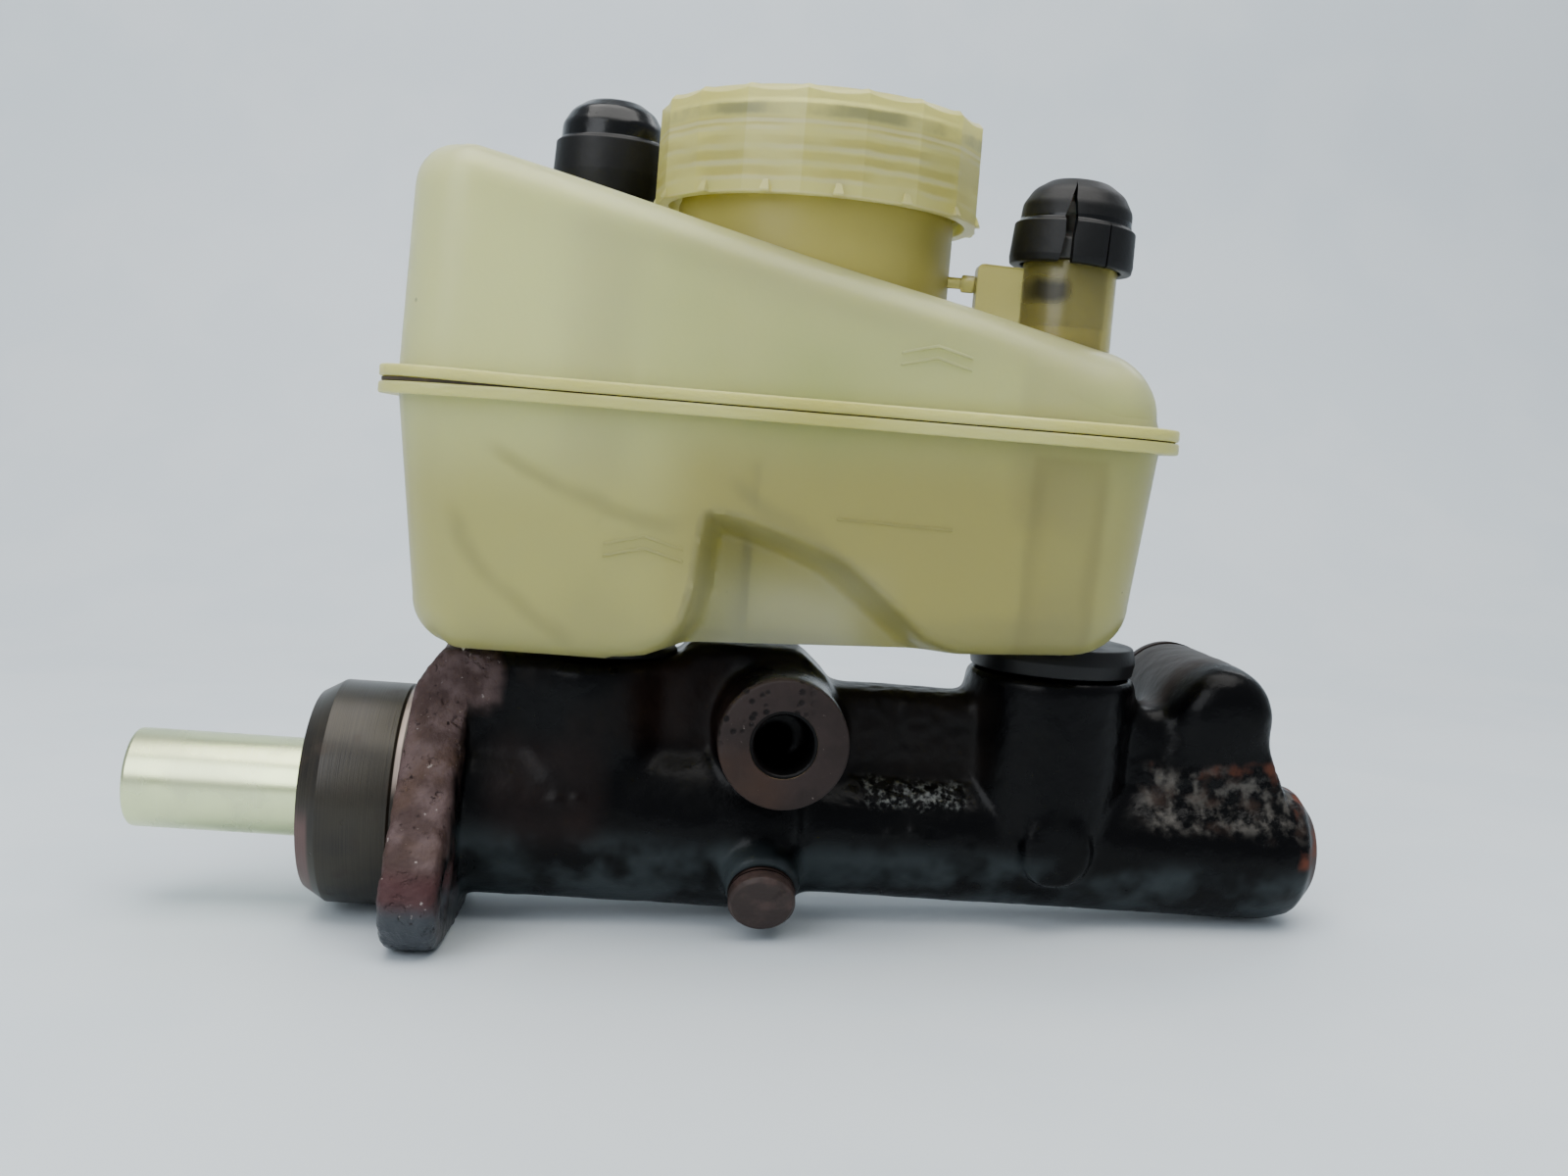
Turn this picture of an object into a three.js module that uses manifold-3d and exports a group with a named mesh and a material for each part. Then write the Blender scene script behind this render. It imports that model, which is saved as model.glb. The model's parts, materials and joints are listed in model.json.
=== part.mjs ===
// Tandem brake master cylinder with its fluid reservoir, in millimetres, +Z up.
// The origin is the centre of the mounting flange's rear face, on the bore axis.
// +X runs along the bore towards the closed front end; the near side faces -Y.
import * as THREE from 'three';
import { mergeVertices } from 'three/addons/utils/BufferGeometryUtils.js';
import Module from 'manifold-3d';

const wasm = await Module();
wasm.setup();

// ---- driving dimensions -------------------------------------------------------------

const GAP = 0.2; // axial gap left between pieces that touch on the real object

// Cast body
const SPIGOT_REAR = -19;
const SPIGOT_R = 22;
const SPIGOT_CHAMFER_LENGTH = 4.2;
const SPIGOT_CHAMFER_DEPTH = 2.5;
const SPIGOT_IN_FLANGE = 0.5; // how far the spigot's disc runs into the flange
const FLANGE_THICK = 11;
const FLANGE_HUB_R = 24;
const EAR_Y = 28.5;
const EAR_Z = 11.5;
const EAR_R = 10.5;
const BOLT_HOLE_R = 4.25;
const REAR_BARREL_R = 18.4;
const FRONT_BARREL_R = 14.4;
const STEP_X = 74;
const ROOT_HALF_WIDTH = 10;
const FRONT_END_X = 183.6;
const REAR_BORE_R = 11.905; // 23.81 mm bore
const FRONT_BORE_R = 9.525; // 19.05 mm bore
const BORE_END_X = 174;
const GUIDE_BORE_R = 15.5;
const GUIDE_BORE_END = 1;
const CIRCLIP_GROOVE_R = 16.6;
const CIRCLIP_X = [-17.4, -15.6];
const BODY_SEGMENTS = 28;

// Inlet bosses, one per circuit
const REAR_INLET_X = 34;
const FRONT_INLET_X = 125.9;
const REAR_INLET_R = 17.4;
const FRONT_INLET_R = 17.2;
const REAR_INLET_TOP = 31.8;
const FRONT_INLET_TOP = 34.2;
const SOCKET_R = 10;
const SOCKET_FLOOR = 23;
const FEED_R = 2.5;
const FEED_BACK = 6; // feed drilling, behind the boss axis
const BLEED_R = 0.8;
const BLEED_FRONT = 3.6; // compensating drilling, in front of the boss axis

// Outlet ports, M12 x 1
const PORT_THREAD_R = 5.45;
const PORT_MOUTH_R = 6.2;
const PORT_DEPTH = 14;
const REAR_PORT = { x: 70.6, z: 20.5, r: 12.3, face: -30.4 };
const FRONT_PORT = { x: 159.5, z: 27.4, r: 11.4, face: 31 };
const FRONT_LUMP = { x: 160.5, z: 28, r: 10.4, end: -12 };

// Stop screw, radial, tilted below the near side
const STOP_X = 69.3;
const STOP_TURN = THREE.MathUtils.degToRad(115);
const STOP_BOSS_R = 7.6;
const STOP_BOSS_END = 22.6;
const STOP_HEAD_R = 5.9;
const STOP_HEAD_END = 27;
const STOP_SHANK_R = 3.6;
const STOP_PIN_R = 2.8;
const STOP_PIN_END = 7.9;

// Pistons
const ROD_R = 9.7;
const ROD_END = -54.5;
const SOCKET_ROD_R = 6;
const SOCKET_ROD_DEPTH = 24;
const SCREW_R = 2; // the captive screw
const PISTON_SEGMENTS = 24;

const PRIMARY_LAND_R = 11.8;
const PRIMARY_WAIST_R = 8.5;
const PRIMARY_NOSE_R = 6.5;
const PRIMARY_REAR_LAND = [3, 9];
const PRIMARY_FRONT_LAND = [25, 29.6];
const PRIMARY_NOSE_END = 36.3;

const SECONDARY_LAND_R = 9.42;
const SECONDARY_WAIST_R = 6.5;
const SECONDARY_SEAT_R = 6.2; // under the two separating cups
const SECONDARY_NOSE_R = 5.2;
const SECONDARY_REAR_LAND = [72.6, 77];
const SECONDARY_RIB = [83.7, 84.5];
const SECONDARY_MIDDLE_LAND = [91, 95];
const SECONDARY_FRONT_LAND = [117, 121.4];
const SECONDARY_NOSE_END = 128.2;
const SECONDARY_SOCKET_END = 79;

// Pieces on the bore axis: where each one lies along X, cups from their back to their lips
const AT = {
  stopWasher: [-15.4, -14.2],
  vacuumCup: [-14, -9.8],
  guideRing: [-9.6, -4.8],
  pressureCup: [-4.6, 0.7],
  primaryCupWasher: [29.8, 30.5],
  primaryCup: [30.7, 36.1],
  primarySpringSeat: [36.6, 37.8],
  primarySpring: [38, 70.6],
  captiveScrew: [26, 59],
  stopSleeve: [54.6, 72.3],
  separatingCupRear: [83.4, 77.3],
  separatingCupFront: [84.8, 90.7],
  secondaryCupWasher: [121.6, 122.3],
  secondaryCup: [122.5, 128],
  secondarySpringSeat: [128.5, 129.6],
  secondarySpring: [129.8, 173.6],
};
const PRIMARY_COIL = { radius: 6.2, wire: 0.8, turns: 6 };
const SECONDARY_COIL = { radius: 7.2, wire: 1.1, turns: 6.5 };

// Reservoir
const WALL = 2.2;
const SEAM_Z = 81.2;
const BELLY_Z = 33.8; // lowest point of the lower half, beside the rear boss
const LIP_OUT = 3.4;
const LIP_THICK = 2.2;
const TANK_HALF_WIDTH = 34;
const TANK_REAR = -4;
const TANK_FRONT = 136.8;
const PLAN_CORNER_R = 12;
const DECK_SLOPE = 0.2092;
const DECK_Z_AT_ORIGIN = 122.8;
const DECK_EDGE_R = 8;
const POCKET_Y = 16;
const NECK_X = 70.8;
const NECK_FOOT_R = 26.9;
const NECK_R = 26.4;
const NECK_THREAD_R = 27.6;
const NECK_BORE_R = 24.2;
const NECK_TOP = 134.8;
const NECK_FOOT_TOP = 121;
const THREAD_PITCH = 6;
const NIPPLE_R = 7;
const NIPPLE_BORE_R = 4.6;
const NIPPLE_END = 26;

// Level-warning towers: axis, tower top and length of the float cage below the insert
const TOWERS = {
  rear: { x: 29, y: 20, top: 126.8, cage: 49.9 },
  front: { x: 118.8, y: -14, top: 113.4, cage: 38 },
};
const TOWER_R = 8.9;
const TOWER_BORE_R = 7.6;

// Cap
const CAP_R = 31.6;
const CAP_FLATS = 18;
const CAP_BORE_R = 29;
const CAP_BOTTOM = 119.5;
const CAP_TOP = 138.8;
const CAP_ROOF = 2.2;

// ---- materials ------------------------------------------------------------------------

function finish(color, roughness, metalness) {
  return new THREE.MeshStandardMaterial({ color, roughness, metalness });
}

function clearPlastic(color, opacity) {
  const material = finish(color, 0.45, 0);
  material.transparent = true;
  material.opacity = opacity;
  return material;
}

const IRON = 0x26221f;
const GOLD = 0xb9b878;
const STEEL = 0x8a8a86;
const RUBBER = 0x1d1f22;
const TANK = 0xc9c69c;

// ---- solids and outlines ----------------------------------------------------------------

// A closed geometry as a solid that can be joined and cut.
function solid(geometry) {
  const bare = geometry.clone();
  bare.deleteAttribute('normal');
  bare.deleteAttribute('uv');
  const merged = mergeVertices(bare, 1e-4);
  const index = merged.index.array;
  const kept = [];
  for (let i = 0; i < index.length; i += 3) {
    const [a, b, c] = [index[i], index[i + 1], index[i + 2]];
    if (a !== b && b !== c && c !== a) {
      kept.push(a, b, c);
    }
  }
  const vertProperties = new Float32Array(merged.attributes.position.array);
  const triVerts = new Uint32Array(kept);
  return new wasm.Manifold(new wasm.Mesh({ numProp: 3, vertProperties, triVerts }));
}

function geometryOf(shape) {
  const mesh = shape.getMesh();
  const geometry = new THREE.BufferGeometry();
  geometry.setAttribute('position', new THREE.BufferAttribute(mesh.vertProperties, 3));
  geometry.setIndex(new THREE.BufferAttribute(mesh.triVerts, 1));
  geometry.computeVertexNormals();
  return geometry;
}

function joined(shapes) {
  return shapes.reduce((whole, shape) => whole.add(shape));
}

function cut(shape, tools) {
  return tools.reduce((rest, tool) => rest.subtract(tool), shape);
}

const TURN_TO_AXIS = {
  x: (geometry) => geometry.rotateZ(-Math.PI / 2),
  y: (geometry) => geometry,
  z: (geometry) => geometry.rotateX(Math.PI / 2),
};

// A turned piece: [position along the axis, radius] pairs, up the outside and, for a ring,
// back down the inside.
function turned(profile, axis = 'x', segments = PISTON_SEGMENTS) {
  const closes = profile[0][1] > 0 ? [...profile, profile[0]] : profile;
  const points = closes.map(([along, radius]) => new THREE.Vector2(radius, along));
  return TURN_TO_AXIS[axis](new THREE.LatheGeometry(points, segments));
}

function rod(axis, radius, from, to, segments = 24) {
  return turned([[from, 0], [from, radius], [to, radius], [to, 0]], axis, segments);
}

function ring(axis, inner, outer, from, to, segments = 24) {
  return turned([[from, inner], [from, outer], [to, outer], [to, inner]], axis, segments);
}

function box(low, high) {
  const size = low.map((value, i) => high[i] - value);
  const middle = low.map((value, i) => (high[i] + value) / 2);
  return new THREE.BoxGeometry(...size).translate(...middle);
}

// A round rod between two points in space.
function rodBetween(from, to, radius, segments = 8) {
  const start = new THREE.Vector3(...from);
  const along = new THREE.Vector3(...to).sub(start);
  const geometry = rod('y', radius, 0, along.length(), segments);
  const up = new THREE.Vector3(0, 1, 0);
  geometry.applyQuaternion(new THREE.Quaternion().setFromUnitVectors(up, along.normalize()));
  return geometry.translate(...from);
}

// A closed outline through anticlockwise corners [x, y, radius], each one rounded.
function outline(corners) {
  const shape = new THREE.Shape();
  corners.forEach(([x, y, radius = 0], i) => {
    const corner = new THREE.Vector2(x, y);
    const before = corners[(i + corners.length - 1) % corners.length];
    const after = corners[(i + 1) % corners.length];
    const back = new THREE.Vector2(before[0], before[1]).sub(corner).normalize();
    const ahead = new THREE.Vector2(after[0], after[1]).sub(corner).normalize();
    const half = Math.acos(back.dot(ahead)) / 2;
    const reach = radius / Math.tan(half);
    const start = back.clone().multiplyScalar(reach).add(corner);
    if (i === 0) {
      shape.moveTo(start.x, start.y);
    } else {
      shape.lineTo(start.x, start.y);
    }
    if (radius === 0) {
      return;
    }
    const end = ahead.clone().multiplyScalar(reach).add(corner);
    const toCentre = back.clone().add(ahead).normalize();
    const centre = toCentre.multiplyScalar(radius / Math.sin(half)).add(corner);
    const from = Math.atan2(start.y - centre.y, start.x - centre.x);
    const to = Math.atan2(end.y - centre.y, end.x - centre.x);
    const turnsRight = back.cross(ahead) > 0;
    shape.absarc(centre.x, centre.y, radius, from, to, turnsRight);
  });
  return shape;
}

// The same corners moved inwards by a wall thickness.
function inset(corners, wall) {
  return corners.map(([x, y, radius = 0], i) => {
    const before = corners[(i + corners.length - 1) % corners.length];
    const after = corners[(i + 1) % corners.length];
    const arrive = new THREE.Vector2(x - before[0], y - before[1]).normalize();
    const leave = new THREE.Vector2(after[0] - x, after[1] - y).normalize();
    const turn = arrive.cross(leave);
    const shift = (wall * (1 - arrive.dot(leave))) / turn;
    const moved = new THREE.Vector2(-arrive.y, arrive.x).multiplyScalar(wall);
    moved.add(arrive.multiplyScalar(-shift));
    const rounding = turn > 0 ? Math.max(radius - wall, 0.5) : radius + wall;
    return [x + moved.x, y + moved.y, radius === 0 ? 0 : rounding];
  });
}

function extrude(shape, depth, curveSegments) {
  return new THREE.ExtrudeGeometry(shape, { depth, bevelEnabled: false, curveSegments });
}

// A plan outline (X, Y) raised along Z.
function raised(shape, from, to, curveSegments = 3) {
  return extrude(shape, to - from, curveSegments).translate(0, 0, from);
}

// A side outline (X, Z) drawn out along Y.
function drawnAcross(shape, from, to, curveSegments = 3) {
  return extrude(shape, to - from, curveSegments).rotateX(Math.PI / 2).translate(0, to, 0);
}

// An end outline (Y, Z) drawn out along X.
function drawnAlong(shape, from, to, curveSegments = 3) {
  const axes = new THREE.Matrix4().makeBasis(
    new THREE.Vector3(0, 1, 0),
    new THREE.Vector3(0, 0, 1),
    new THREE.Vector3(1, 0, 0),
  );
  return extrude(shape, to - from, curveSegments).applyMatrix4(axes).translate(from, 0, 0);
}

// ---- cast body --------------------------------------------------------------------------

// Two ears on a round hub, joined by straight tangents.
function flangeOutline() {
  const distance = Math.hypot(EAR_Y, EAR_Z);
  const ear = Math.atan2(EAR_Z, EAR_Y);
  const open = Math.acos((FLANGE_HUB_R - EAR_R) / distance);
  const shape = new THREE.Shape();
  for (const [side, towards] of [[1, ear], [-1, ear + Math.PI]]) {
    shape.absarc(side * EAR_Y, side * EAR_Z, EAR_R, towards - open, towards + open, false);
    shape.absarc(0, 0, FLANGE_HUB_R, towards + open, towards + Math.PI - open, false);
  }
  return shape;
}

function barrel() {
  const chamferEnd = SPIGOT_REAR + SPIGOT_CHAMFER_LENGTH;
  return turned([
    [SPIGOT_REAR, 0],
    [SPIGOT_REAR, SPIGOT_R - SPIGOT_CHAMFER_DEPTH],
    [chamferEnd, SPIGOT_R],
    [SPIGOT_IN_FLANGE, SPIGOT_R],
    [SPIGOT_IN_FLANGE, REAR_BARREL_R],
    [STEP_X, REAR_BARREL_R],
    [STEP_X + 4, FRONT_BARREL_R],
    [FRONT_END_X - 11, FRONT_BARREL_R],
    [FRONT_END_X - 5, 13],
    [FRONT_END_X - 1.4, 8.6],
    [FRONT_END_X, 4],
    [FRONT_END_X, 0],
  ], 'x', BODY_SEGMENTS);
}

function rearBosses() {
  const inlet = rod('z', REAR_INLET_R, 0, REAR_INLET_TOP, 24).translate(REAR_INLET_X, 0, 0);
  const web = drawnAcross(outline([
    [0.5, 0], [REAR_INLET_X, 0], [REAR_INLET_X, 31.4], [5.2, 31.6, 2], [0.5, 23.4],
  ]), -13, 13, 2);
  const bridge = box([REAR_INLET_X, -11, 0], [56, 11, 32]);
  const root = drawnAcross(outline([
    [51.6, 4], [84.5, 4], [84.5, 22, 3], [79.8, 30.4, 3], [74, 35.4, 2], [51.6, 35.2],
  ]), -ROOT_HALF_WIDTH, ROOT_HALF_WIDTH);
  const outlet = rod('y', REAR_PORT.r, REAR_PORT.face, 0, 24);
  outlet.translate(REAR_PORT.x, 0, REAR_PORT.z);
  const stop = rod('z', STOP_BOSS_R, 8, STOP_BOSS_END, 16).rotateX(STOP_TURN);
  stop.translate(STOP_X, 0, 0);
  return [inlet, web, bridge, root, outlet, stop];
}

function frontBosses() {
  const inlet = rod('z', FRONT_INLET_R, 3, FRONT_INLET_TOP, 24);
  inlet.translate(FRONT_INLET_X, 0, 0);
  const pad = rod('y', 7, -17.6, 0, 18).translate(FRONT_INLET_X + 0.7, 0, 0);
  const spine = drawnAlong(outline([
    [-8.4, 4], [8.4, 4], [7.2, 28.4, 3], [-7.2, 28.4, 3],
  ]), 80, 150, 2);
  const outlet = rod('y', FRONT_PORT.r, -2, FRONT_PORT.face, 20);
  outlet.translate(FRONT_PORT.x, 0, FRONT_PORT.z);
  const lumpEnd = FRONT_LUMP.end;
  const lump = turned([
    [lumpEnd, 0], [lumpEnd, 4.5], [lumpEnd + 1.2, 8], [lumpEnd + 3.6, 10], [lumpEnd + 6, FRONT_LUMP.r],
    [6, FRONT_LUMP.r], [6, 0],
  ], 'y', 20).translate(FRONT_LUMP.x, 0, FRONT_LUMP.z);
  const root = drawnAcross(outline([
    [148, 4], [174, 4], [174, 14, 4], [169.6, 24, 2], [150.6, 24, 2], [148, 14, 4],
  ]), -10, 22, 2);
  return [inlet, pad, spine, outlet, lump, root];
}

// The stepped bore with its guide counterbore, circlip groove and drilled end.
function boreTool() {
  return turned([
    [SPIGOT_REAR - 1, 0],
    [SPIGOT_REAR - 1, GUIDE_BORE_R],
    [CIRCLIP_X[0], GUIDE_BORE_R],
    [CIRCLIP_X[0], CIRCLIP_GROOVE_R],
    [CIRCLIP_X[1], CIRCLIP_GROOVE_R],
    [CIRCLIP_X[1], GUIDE_BORE_R],
    [GUIDE_BORE_END, GUIDE_BORE_R],
    [GUIDE_BORE_END, REAR_BORE_R],
    [STEP_X, REAR_BORE_R],
    [STEP_X, FRONT_BORE_R],
    [BORE_END_X, FRONT_BORE_R],
    [BORE_END_X + 3, 0],
  ], 'x', PISTON_SEGMENTS);
}

// An inlet socket with its feed and compensating drillings into the bore.
function inletTools(x, top) {
  return [
    rod('z', SOCKET_R, SOCKET_FLOOR, top + 1, 18).translate(x, 0, 0),
    rod('z', FEED_R, 4, SOCKET_FLOOR + 1, 8).translate(x - FEED_BACK, 0, 0),
    rod('z', BLEED_R, 4, SOCKET_FLOOR + 1, 5).translate(x + BLEED_FRONT, 0, 0),
  ];
}

// A threaded outlet port with its mouth chamfer and a slanted drilling into the bore.
function portTools(port, boreEntryX) {
  const inward = Math.sign(-port.face);
  const floor = port.face + inward * PORT_DEPTH;
  const mouth = turned([
    [-1, 0], [-1, PORT_MOUTH_R + 1], [PORT_MOUTH_R - PORT_THREAD_R, PORT_THREAD_R],
    [PORT_DEPTH, PORT_THREAD_R], [PORT_DEPTH, 0],
  ], 'y', 18);
  if (inward < 0) {
    mouth.rotateX(Math.PI);
  }
  mouth.translate(port.x, port.face, port.z);
  const drilling = rodBetween(
    [port.x, floor - inward, port.z],
    [boreEntryX, -inward * 4, 6],
    FEED_R,
  );
  return [mouth, drilling];
}

function stopScrewTool() {
  const hole = turned([
    [6, 0], [6, STOP_PIN_R + 0.3], [13, STOP_PIN_R + 0.3], [13, STOP_SHANK_R + 0.3],
    [STOP_BOSS_END + 1, STOP_SHANK_R + 0.3], [STOP_BOSS_END + 1, 0],
  ], 'z', 16);
  return hole.rotateX(STOP_TURN).translate(STOP_X, 0, 0);
}

function boltHoleTools() {
  return [1, -1].map((side) => {
    const hole = rod('x', BOLT_HOLE_R, -1, FLANGE_THICK + 4, 14);
    return hole.translate(0, side * EAR_Y, side * EAR_Z);
  });
}

function cylinderBody() {
  const flange = drawnAlong(flangeOutline(), 0, FLANGE_THICK, 5);
  const outside = [barrel(), flange, ...rearBosses(), ...frontBosses()];
  const tools = [
    boreTool(),
    ...inletTools(REAR_INLET_X, REAR_INLET_TOP),
    ...inletTools(FRONT_INLET_X, FRONT_INLET_TOP),
    ...portTools(REAR_PORT, 65),
    ...portTools(FRONT_PORT, 159.5),
    stopScrewTool(),
    ...boltHoleTools(),
  ];
  return cut(joined(outside.map(solid)), tools.map(solid));
}

// ---- fittings on the body ------------------------------------------------------------------

function stopScrew() {
  return turned([
    [STOP_PIN_END, 0],
    [STOP_PIN_END, STOP_PIN_R],
    [13.6, STOP_PIN_R],
    [13.6, STOP_SHANK_R],
    [STOP_BOSS_END + 1.4, STOP_SHANK_R],
    [STOP_BOSS_END + 1.4, STOP_HEAD_R],
    [STOP_HEAD_END - 0.6, STOP_HEAD_R],
    [STOP_HEAD_END, STOP_HEAD_R - 0.6],
    [STOP_HEAD_END, 0],
  ], 'z', 16).rotateX(STOP_TURN).translate(STOP_X, 0, 0);
}

function stopScrewWasher() {
  const from = STOP_BOSS_END + GAP;
  const washer = ring('z', STOP_SHANK_R + 0.3, STOP_HEAD_R + 0.6, from, from + 1, 16);
  return washer.rotateX(STOP_TURN).translate(STOP_X, 0, 0);
}

// An open ring that springs into the groove, with a gap at the bottom.
function circlip() {
  const whole = solid(ring('x', 13.4, CIRCLIP_GROOVE_R - 0.3, CIRCLIP_X[0] + GAP, CIRCLIP_X[1] - GAP));
  return whole.subtract(solid(box([-20, -4, -20], [0, 4, -9])));
}

function stopWasher() {
  return ring('x', ROD_R + 0.4, GUIDE_BORE_R - 0.3, ...AT.stopWasher);
}

// A lip seal: the lips flare towards +X or -X from a solid back.
function lipSeal(inner, outer, [back, front]) {
  const length = front - back;
  const middle = (inner + outer) / 2;
  const profile = [
    [back, inner], [back, outer - 0.25], [front, outer], [back + length * 0.4, middle],
    [front, inner],
  ];
  if (length > 0) {
    return turned(profile);
  }
  return turned([profile[0], ...profile.slice(1).reverse()]);
}

function guideRing() {
  return ring('x', ROD_R + 0.06, GUIDE_BORE_R - 0.2, ...AT.guideRing);
}

// A rubber bush in an inlet socket, with a bead in the socket and a collar under the tank.
function grommet(x, bossTop, collarR, collarTop) {
  return turned([
    [SOCKET_FLOOR + GAP, NIPPLE_R + 0.2],
    [SOCKET_FLOOR + GAP, SOCKET_R - 0.8],
    [bossTop - 4, SOCKET_R - 0.3],
    [bossTop + GAP, SOCKET_R - 0.3],
    [bossTop + GAP, collarR - 0.5],
    [(bossTop + collarTop) / 2, collarR],
    [collarTop, collarR - 0.7],
    [collarTop, NIPPLE_R + 0.2],
  ], 'z', 22).translate(x, 0, 0);
}

// ---- reservoir ------------------------------------------------------------------------------

function tankPlan(out) {
  const [rear, front, side] = [TANK_REAR - out, TANK_FRONT + out, TANK_HALF_WIDTH + out];
  const radius = PLAN_CORNER_R + out;
  return [
    [rear, -side, radius], [front, -side, radius], [front, side, radius], [rear, side, radius],
  ];
}

// The floor hangs low beside the rear boss and rises gently towards the front.
const LOWER_SIDE = [
  [TANK_REAR + 5.2, BELLY_Z, 9], [42, BELLY_Z, 5], [49.5, 37.3, 5], [102, 39.3],
  [TANK_FRONT - 3, 40.8, 14], [TANK_FRONT + 0.3, 92], [TANK_REAR - 0.9, 92],
];

const UPPER_SIDE = [
  [TANK_REAR + 0.4, 70], [TANK_FRONT - 0.4, 70],
  [TANK_FRONT + 1, DECK_Z_AT_ORIGIN - DECK_SLOPE * (TANK_FRONT + 1), 14],
  [TANK_REAR - 2, DECK_Z_AT_ORIGIN - DECK_SLOPE * (TANK_REAR - 2), 9],
];

// The near pocket clears the rear outlet's pipe; the far one only slopes the floor.
const NEAR_POCKET = [
  [38, 20], [106, 20], [106, 38], [95, 41.6, 8], [86, 49.5, 12], [71, 56.6, 14],
  [54, 60.6, 5], [53.4, BELLY_Z, 12], [38, BELLY_Z],
];
const FAR_POCKET = [
  [22, 20], [104, 20], [104, 38], [90, 44, 8], [74, 57, 12], [56, 61, 6], [40, 52, 8], [24, 36, 6],
];

// Cross-section with rounded lower edges, wider at the rear than at the front.
function lowerSection(wall) {
  const half = TANK_HALF_WIDTH;
  const section = (bottom, radius) => outline(inset([
    [-half + 1.6, bottom, radius], [half - 1.6, bottom, radius], [half + 1, 95], [-half - 1, 95],
  ], wall));
  const rear = solid(drawnAlong(section(BELLY_Z - 0.2, 6), -20, 75));
  return rear.add(solid(drawnAlong(section(36, 21), 75, 150)));
}

function lowerForm(wall) {
  const side = solid(drawnAcross(outline(inset(LOWER_SIDE, wall)), -50, 50));
  const plan = solid(raised(outline(inset(tankPlan(0), wall)), 20, 100));
  const near = solid(drawnAcross(outline(inset(NEAR_POCKET, -wall)), -60, -POCKET_Y + wall));
  const far = solid(drawnAcross(outline(inset(FAR_POCKET, -wall)), POCKET_Y - wall, 60));
  return side.intersect(plan).intersect(lowerSection(wall)).subtract(near).subtract(far);
}

function upperForm(wall) {
  const side = solid(drawnAcross(outline(inset(UPPER_SIDE, wall)), -50, 50));
  const plan = solid(raised(outline(inset(tankPlan(0), wall)), 60, 140));
  const half = TANK_HALF_WIDTH;
  const section = outline(inset([
    [-half - 1, 60], [half + 1, 60], [half - 1, DECK_Z_AT_ORIGIN, DECK_EDGE_R],
    [-half + 1, DECK_Z_AT_ORIGIN, DECK_EDGE_R],
  ], wall));
  const shear = new THREE.Matrix4().set(1, 0, 0, 0, 0, 1, 0, 0, -DECK_SLOPE, 0, 1, 0, 0, 0, 0, 1);
  const loft = solid(drawnAlong(section, -20, 150).applyMatrix4(shear));
  return side.intersect(plan).intersect(loft);
}

function lip(from, to) {
  const outer = solid(raised(outline(tankPlan(LIP_OUT)), from, to));
  return outer.subtract(solid(raised(outline(inset(tankPlan(0), WALL)), from - 1, to + 1)));
}

function reservoirLower() {
  const top = SEAM_Z - GAP / 2;
  const below = solid(box([-30, -60, 0], [170, 60, top]));
  const form = lowerForm(0);
  const partition = form.intersect(solid(box([61, -60, 30], [62.6, 60, 72])));
  const nipples = [REAR_INLET_X, FRONT_INLET_X].map((x) => {
    return solid(rod('z', NIPPLE_R, NIPPLE_END, 42.5, 20).translate(x, 0, 0));
  });
  const bores = [REAR_INLET_X, FRONT_INLET_X].map((x) => {
    return solid(rod('z', NIPPLE_BORE_R, NIPPLE_END - 1, 47, 16).translate(x, 0, 0));
  });
  const shell = joined([form.subtract(lowerForm(WALL)), partition, ...nipples]).intersect(below);
  return cut(shell.add(lip(top - LIP_THICK, top)), bores);
}

// Round ridges stand in for the neck's thread.
function neckProfile() {
  const profile = [[92, 0], [92, NECK_FOOT_R], [NECK_FOOT_TOP, NECK_FOOT_R], [NECK_FOOT_TOP, NECK_R]];
  for (let z = NECK_FOOT_TOP + 2; z < NECK_TOP - 4; z += THREAD_PITCH / 1.5) {
    profile.push([z, NECK_R], [z + 0.7, NECK_THREAD_R], [z + 1.5, NECK_THREAD_R], [z + 2.2, NECK_R]);
  }
  profile.push([NECK_TOP, NECK_R], [NECK_TOP, 0]);
  return profile;
}

function reservoirUpper() {
  const bottom = SEAM_Z + GAP / 2;
  const above = solid(box([-30, -60, bottom], [170, 60, 200]));
  const form = upperForm(0);
  const outside = [form, solid(turned(neckProfile(), 'z', 30).translate(NECK_X, 0, 0))];
  const inside = [
    upperForm(WALL),
    solid(rod('z', NECK_BORE_R, 90, NECK_TOP + 1, 30).translate(NECK_X, 0, 0)),
  ];
  for (const tower of Object.values(TOWERS)) {
    outside.push(solid(rod('z', TOWER_R, 88, tower.top, 20).translate(tower.x, tower.y, 0)));
    inside.push(solid(rod('z', TOWER_BORE_R, 80, tower.top + 1, 20).translate(tower.x, tower.y, 0)));
  }
  const front = TOWERS.front;
  const tab = solid(box([94, front.y - 1.6, 100], [front.x - 5, front.y + 1.6, front.top - 1.4]));
  const shell = cut(joined([...outside, tab]), inside).intersect(above);
  return shell.add(lip(bottom, bottom + LIP_THICK));
}

// ---- cap ---------------------------------------------------------------------------------------

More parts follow.
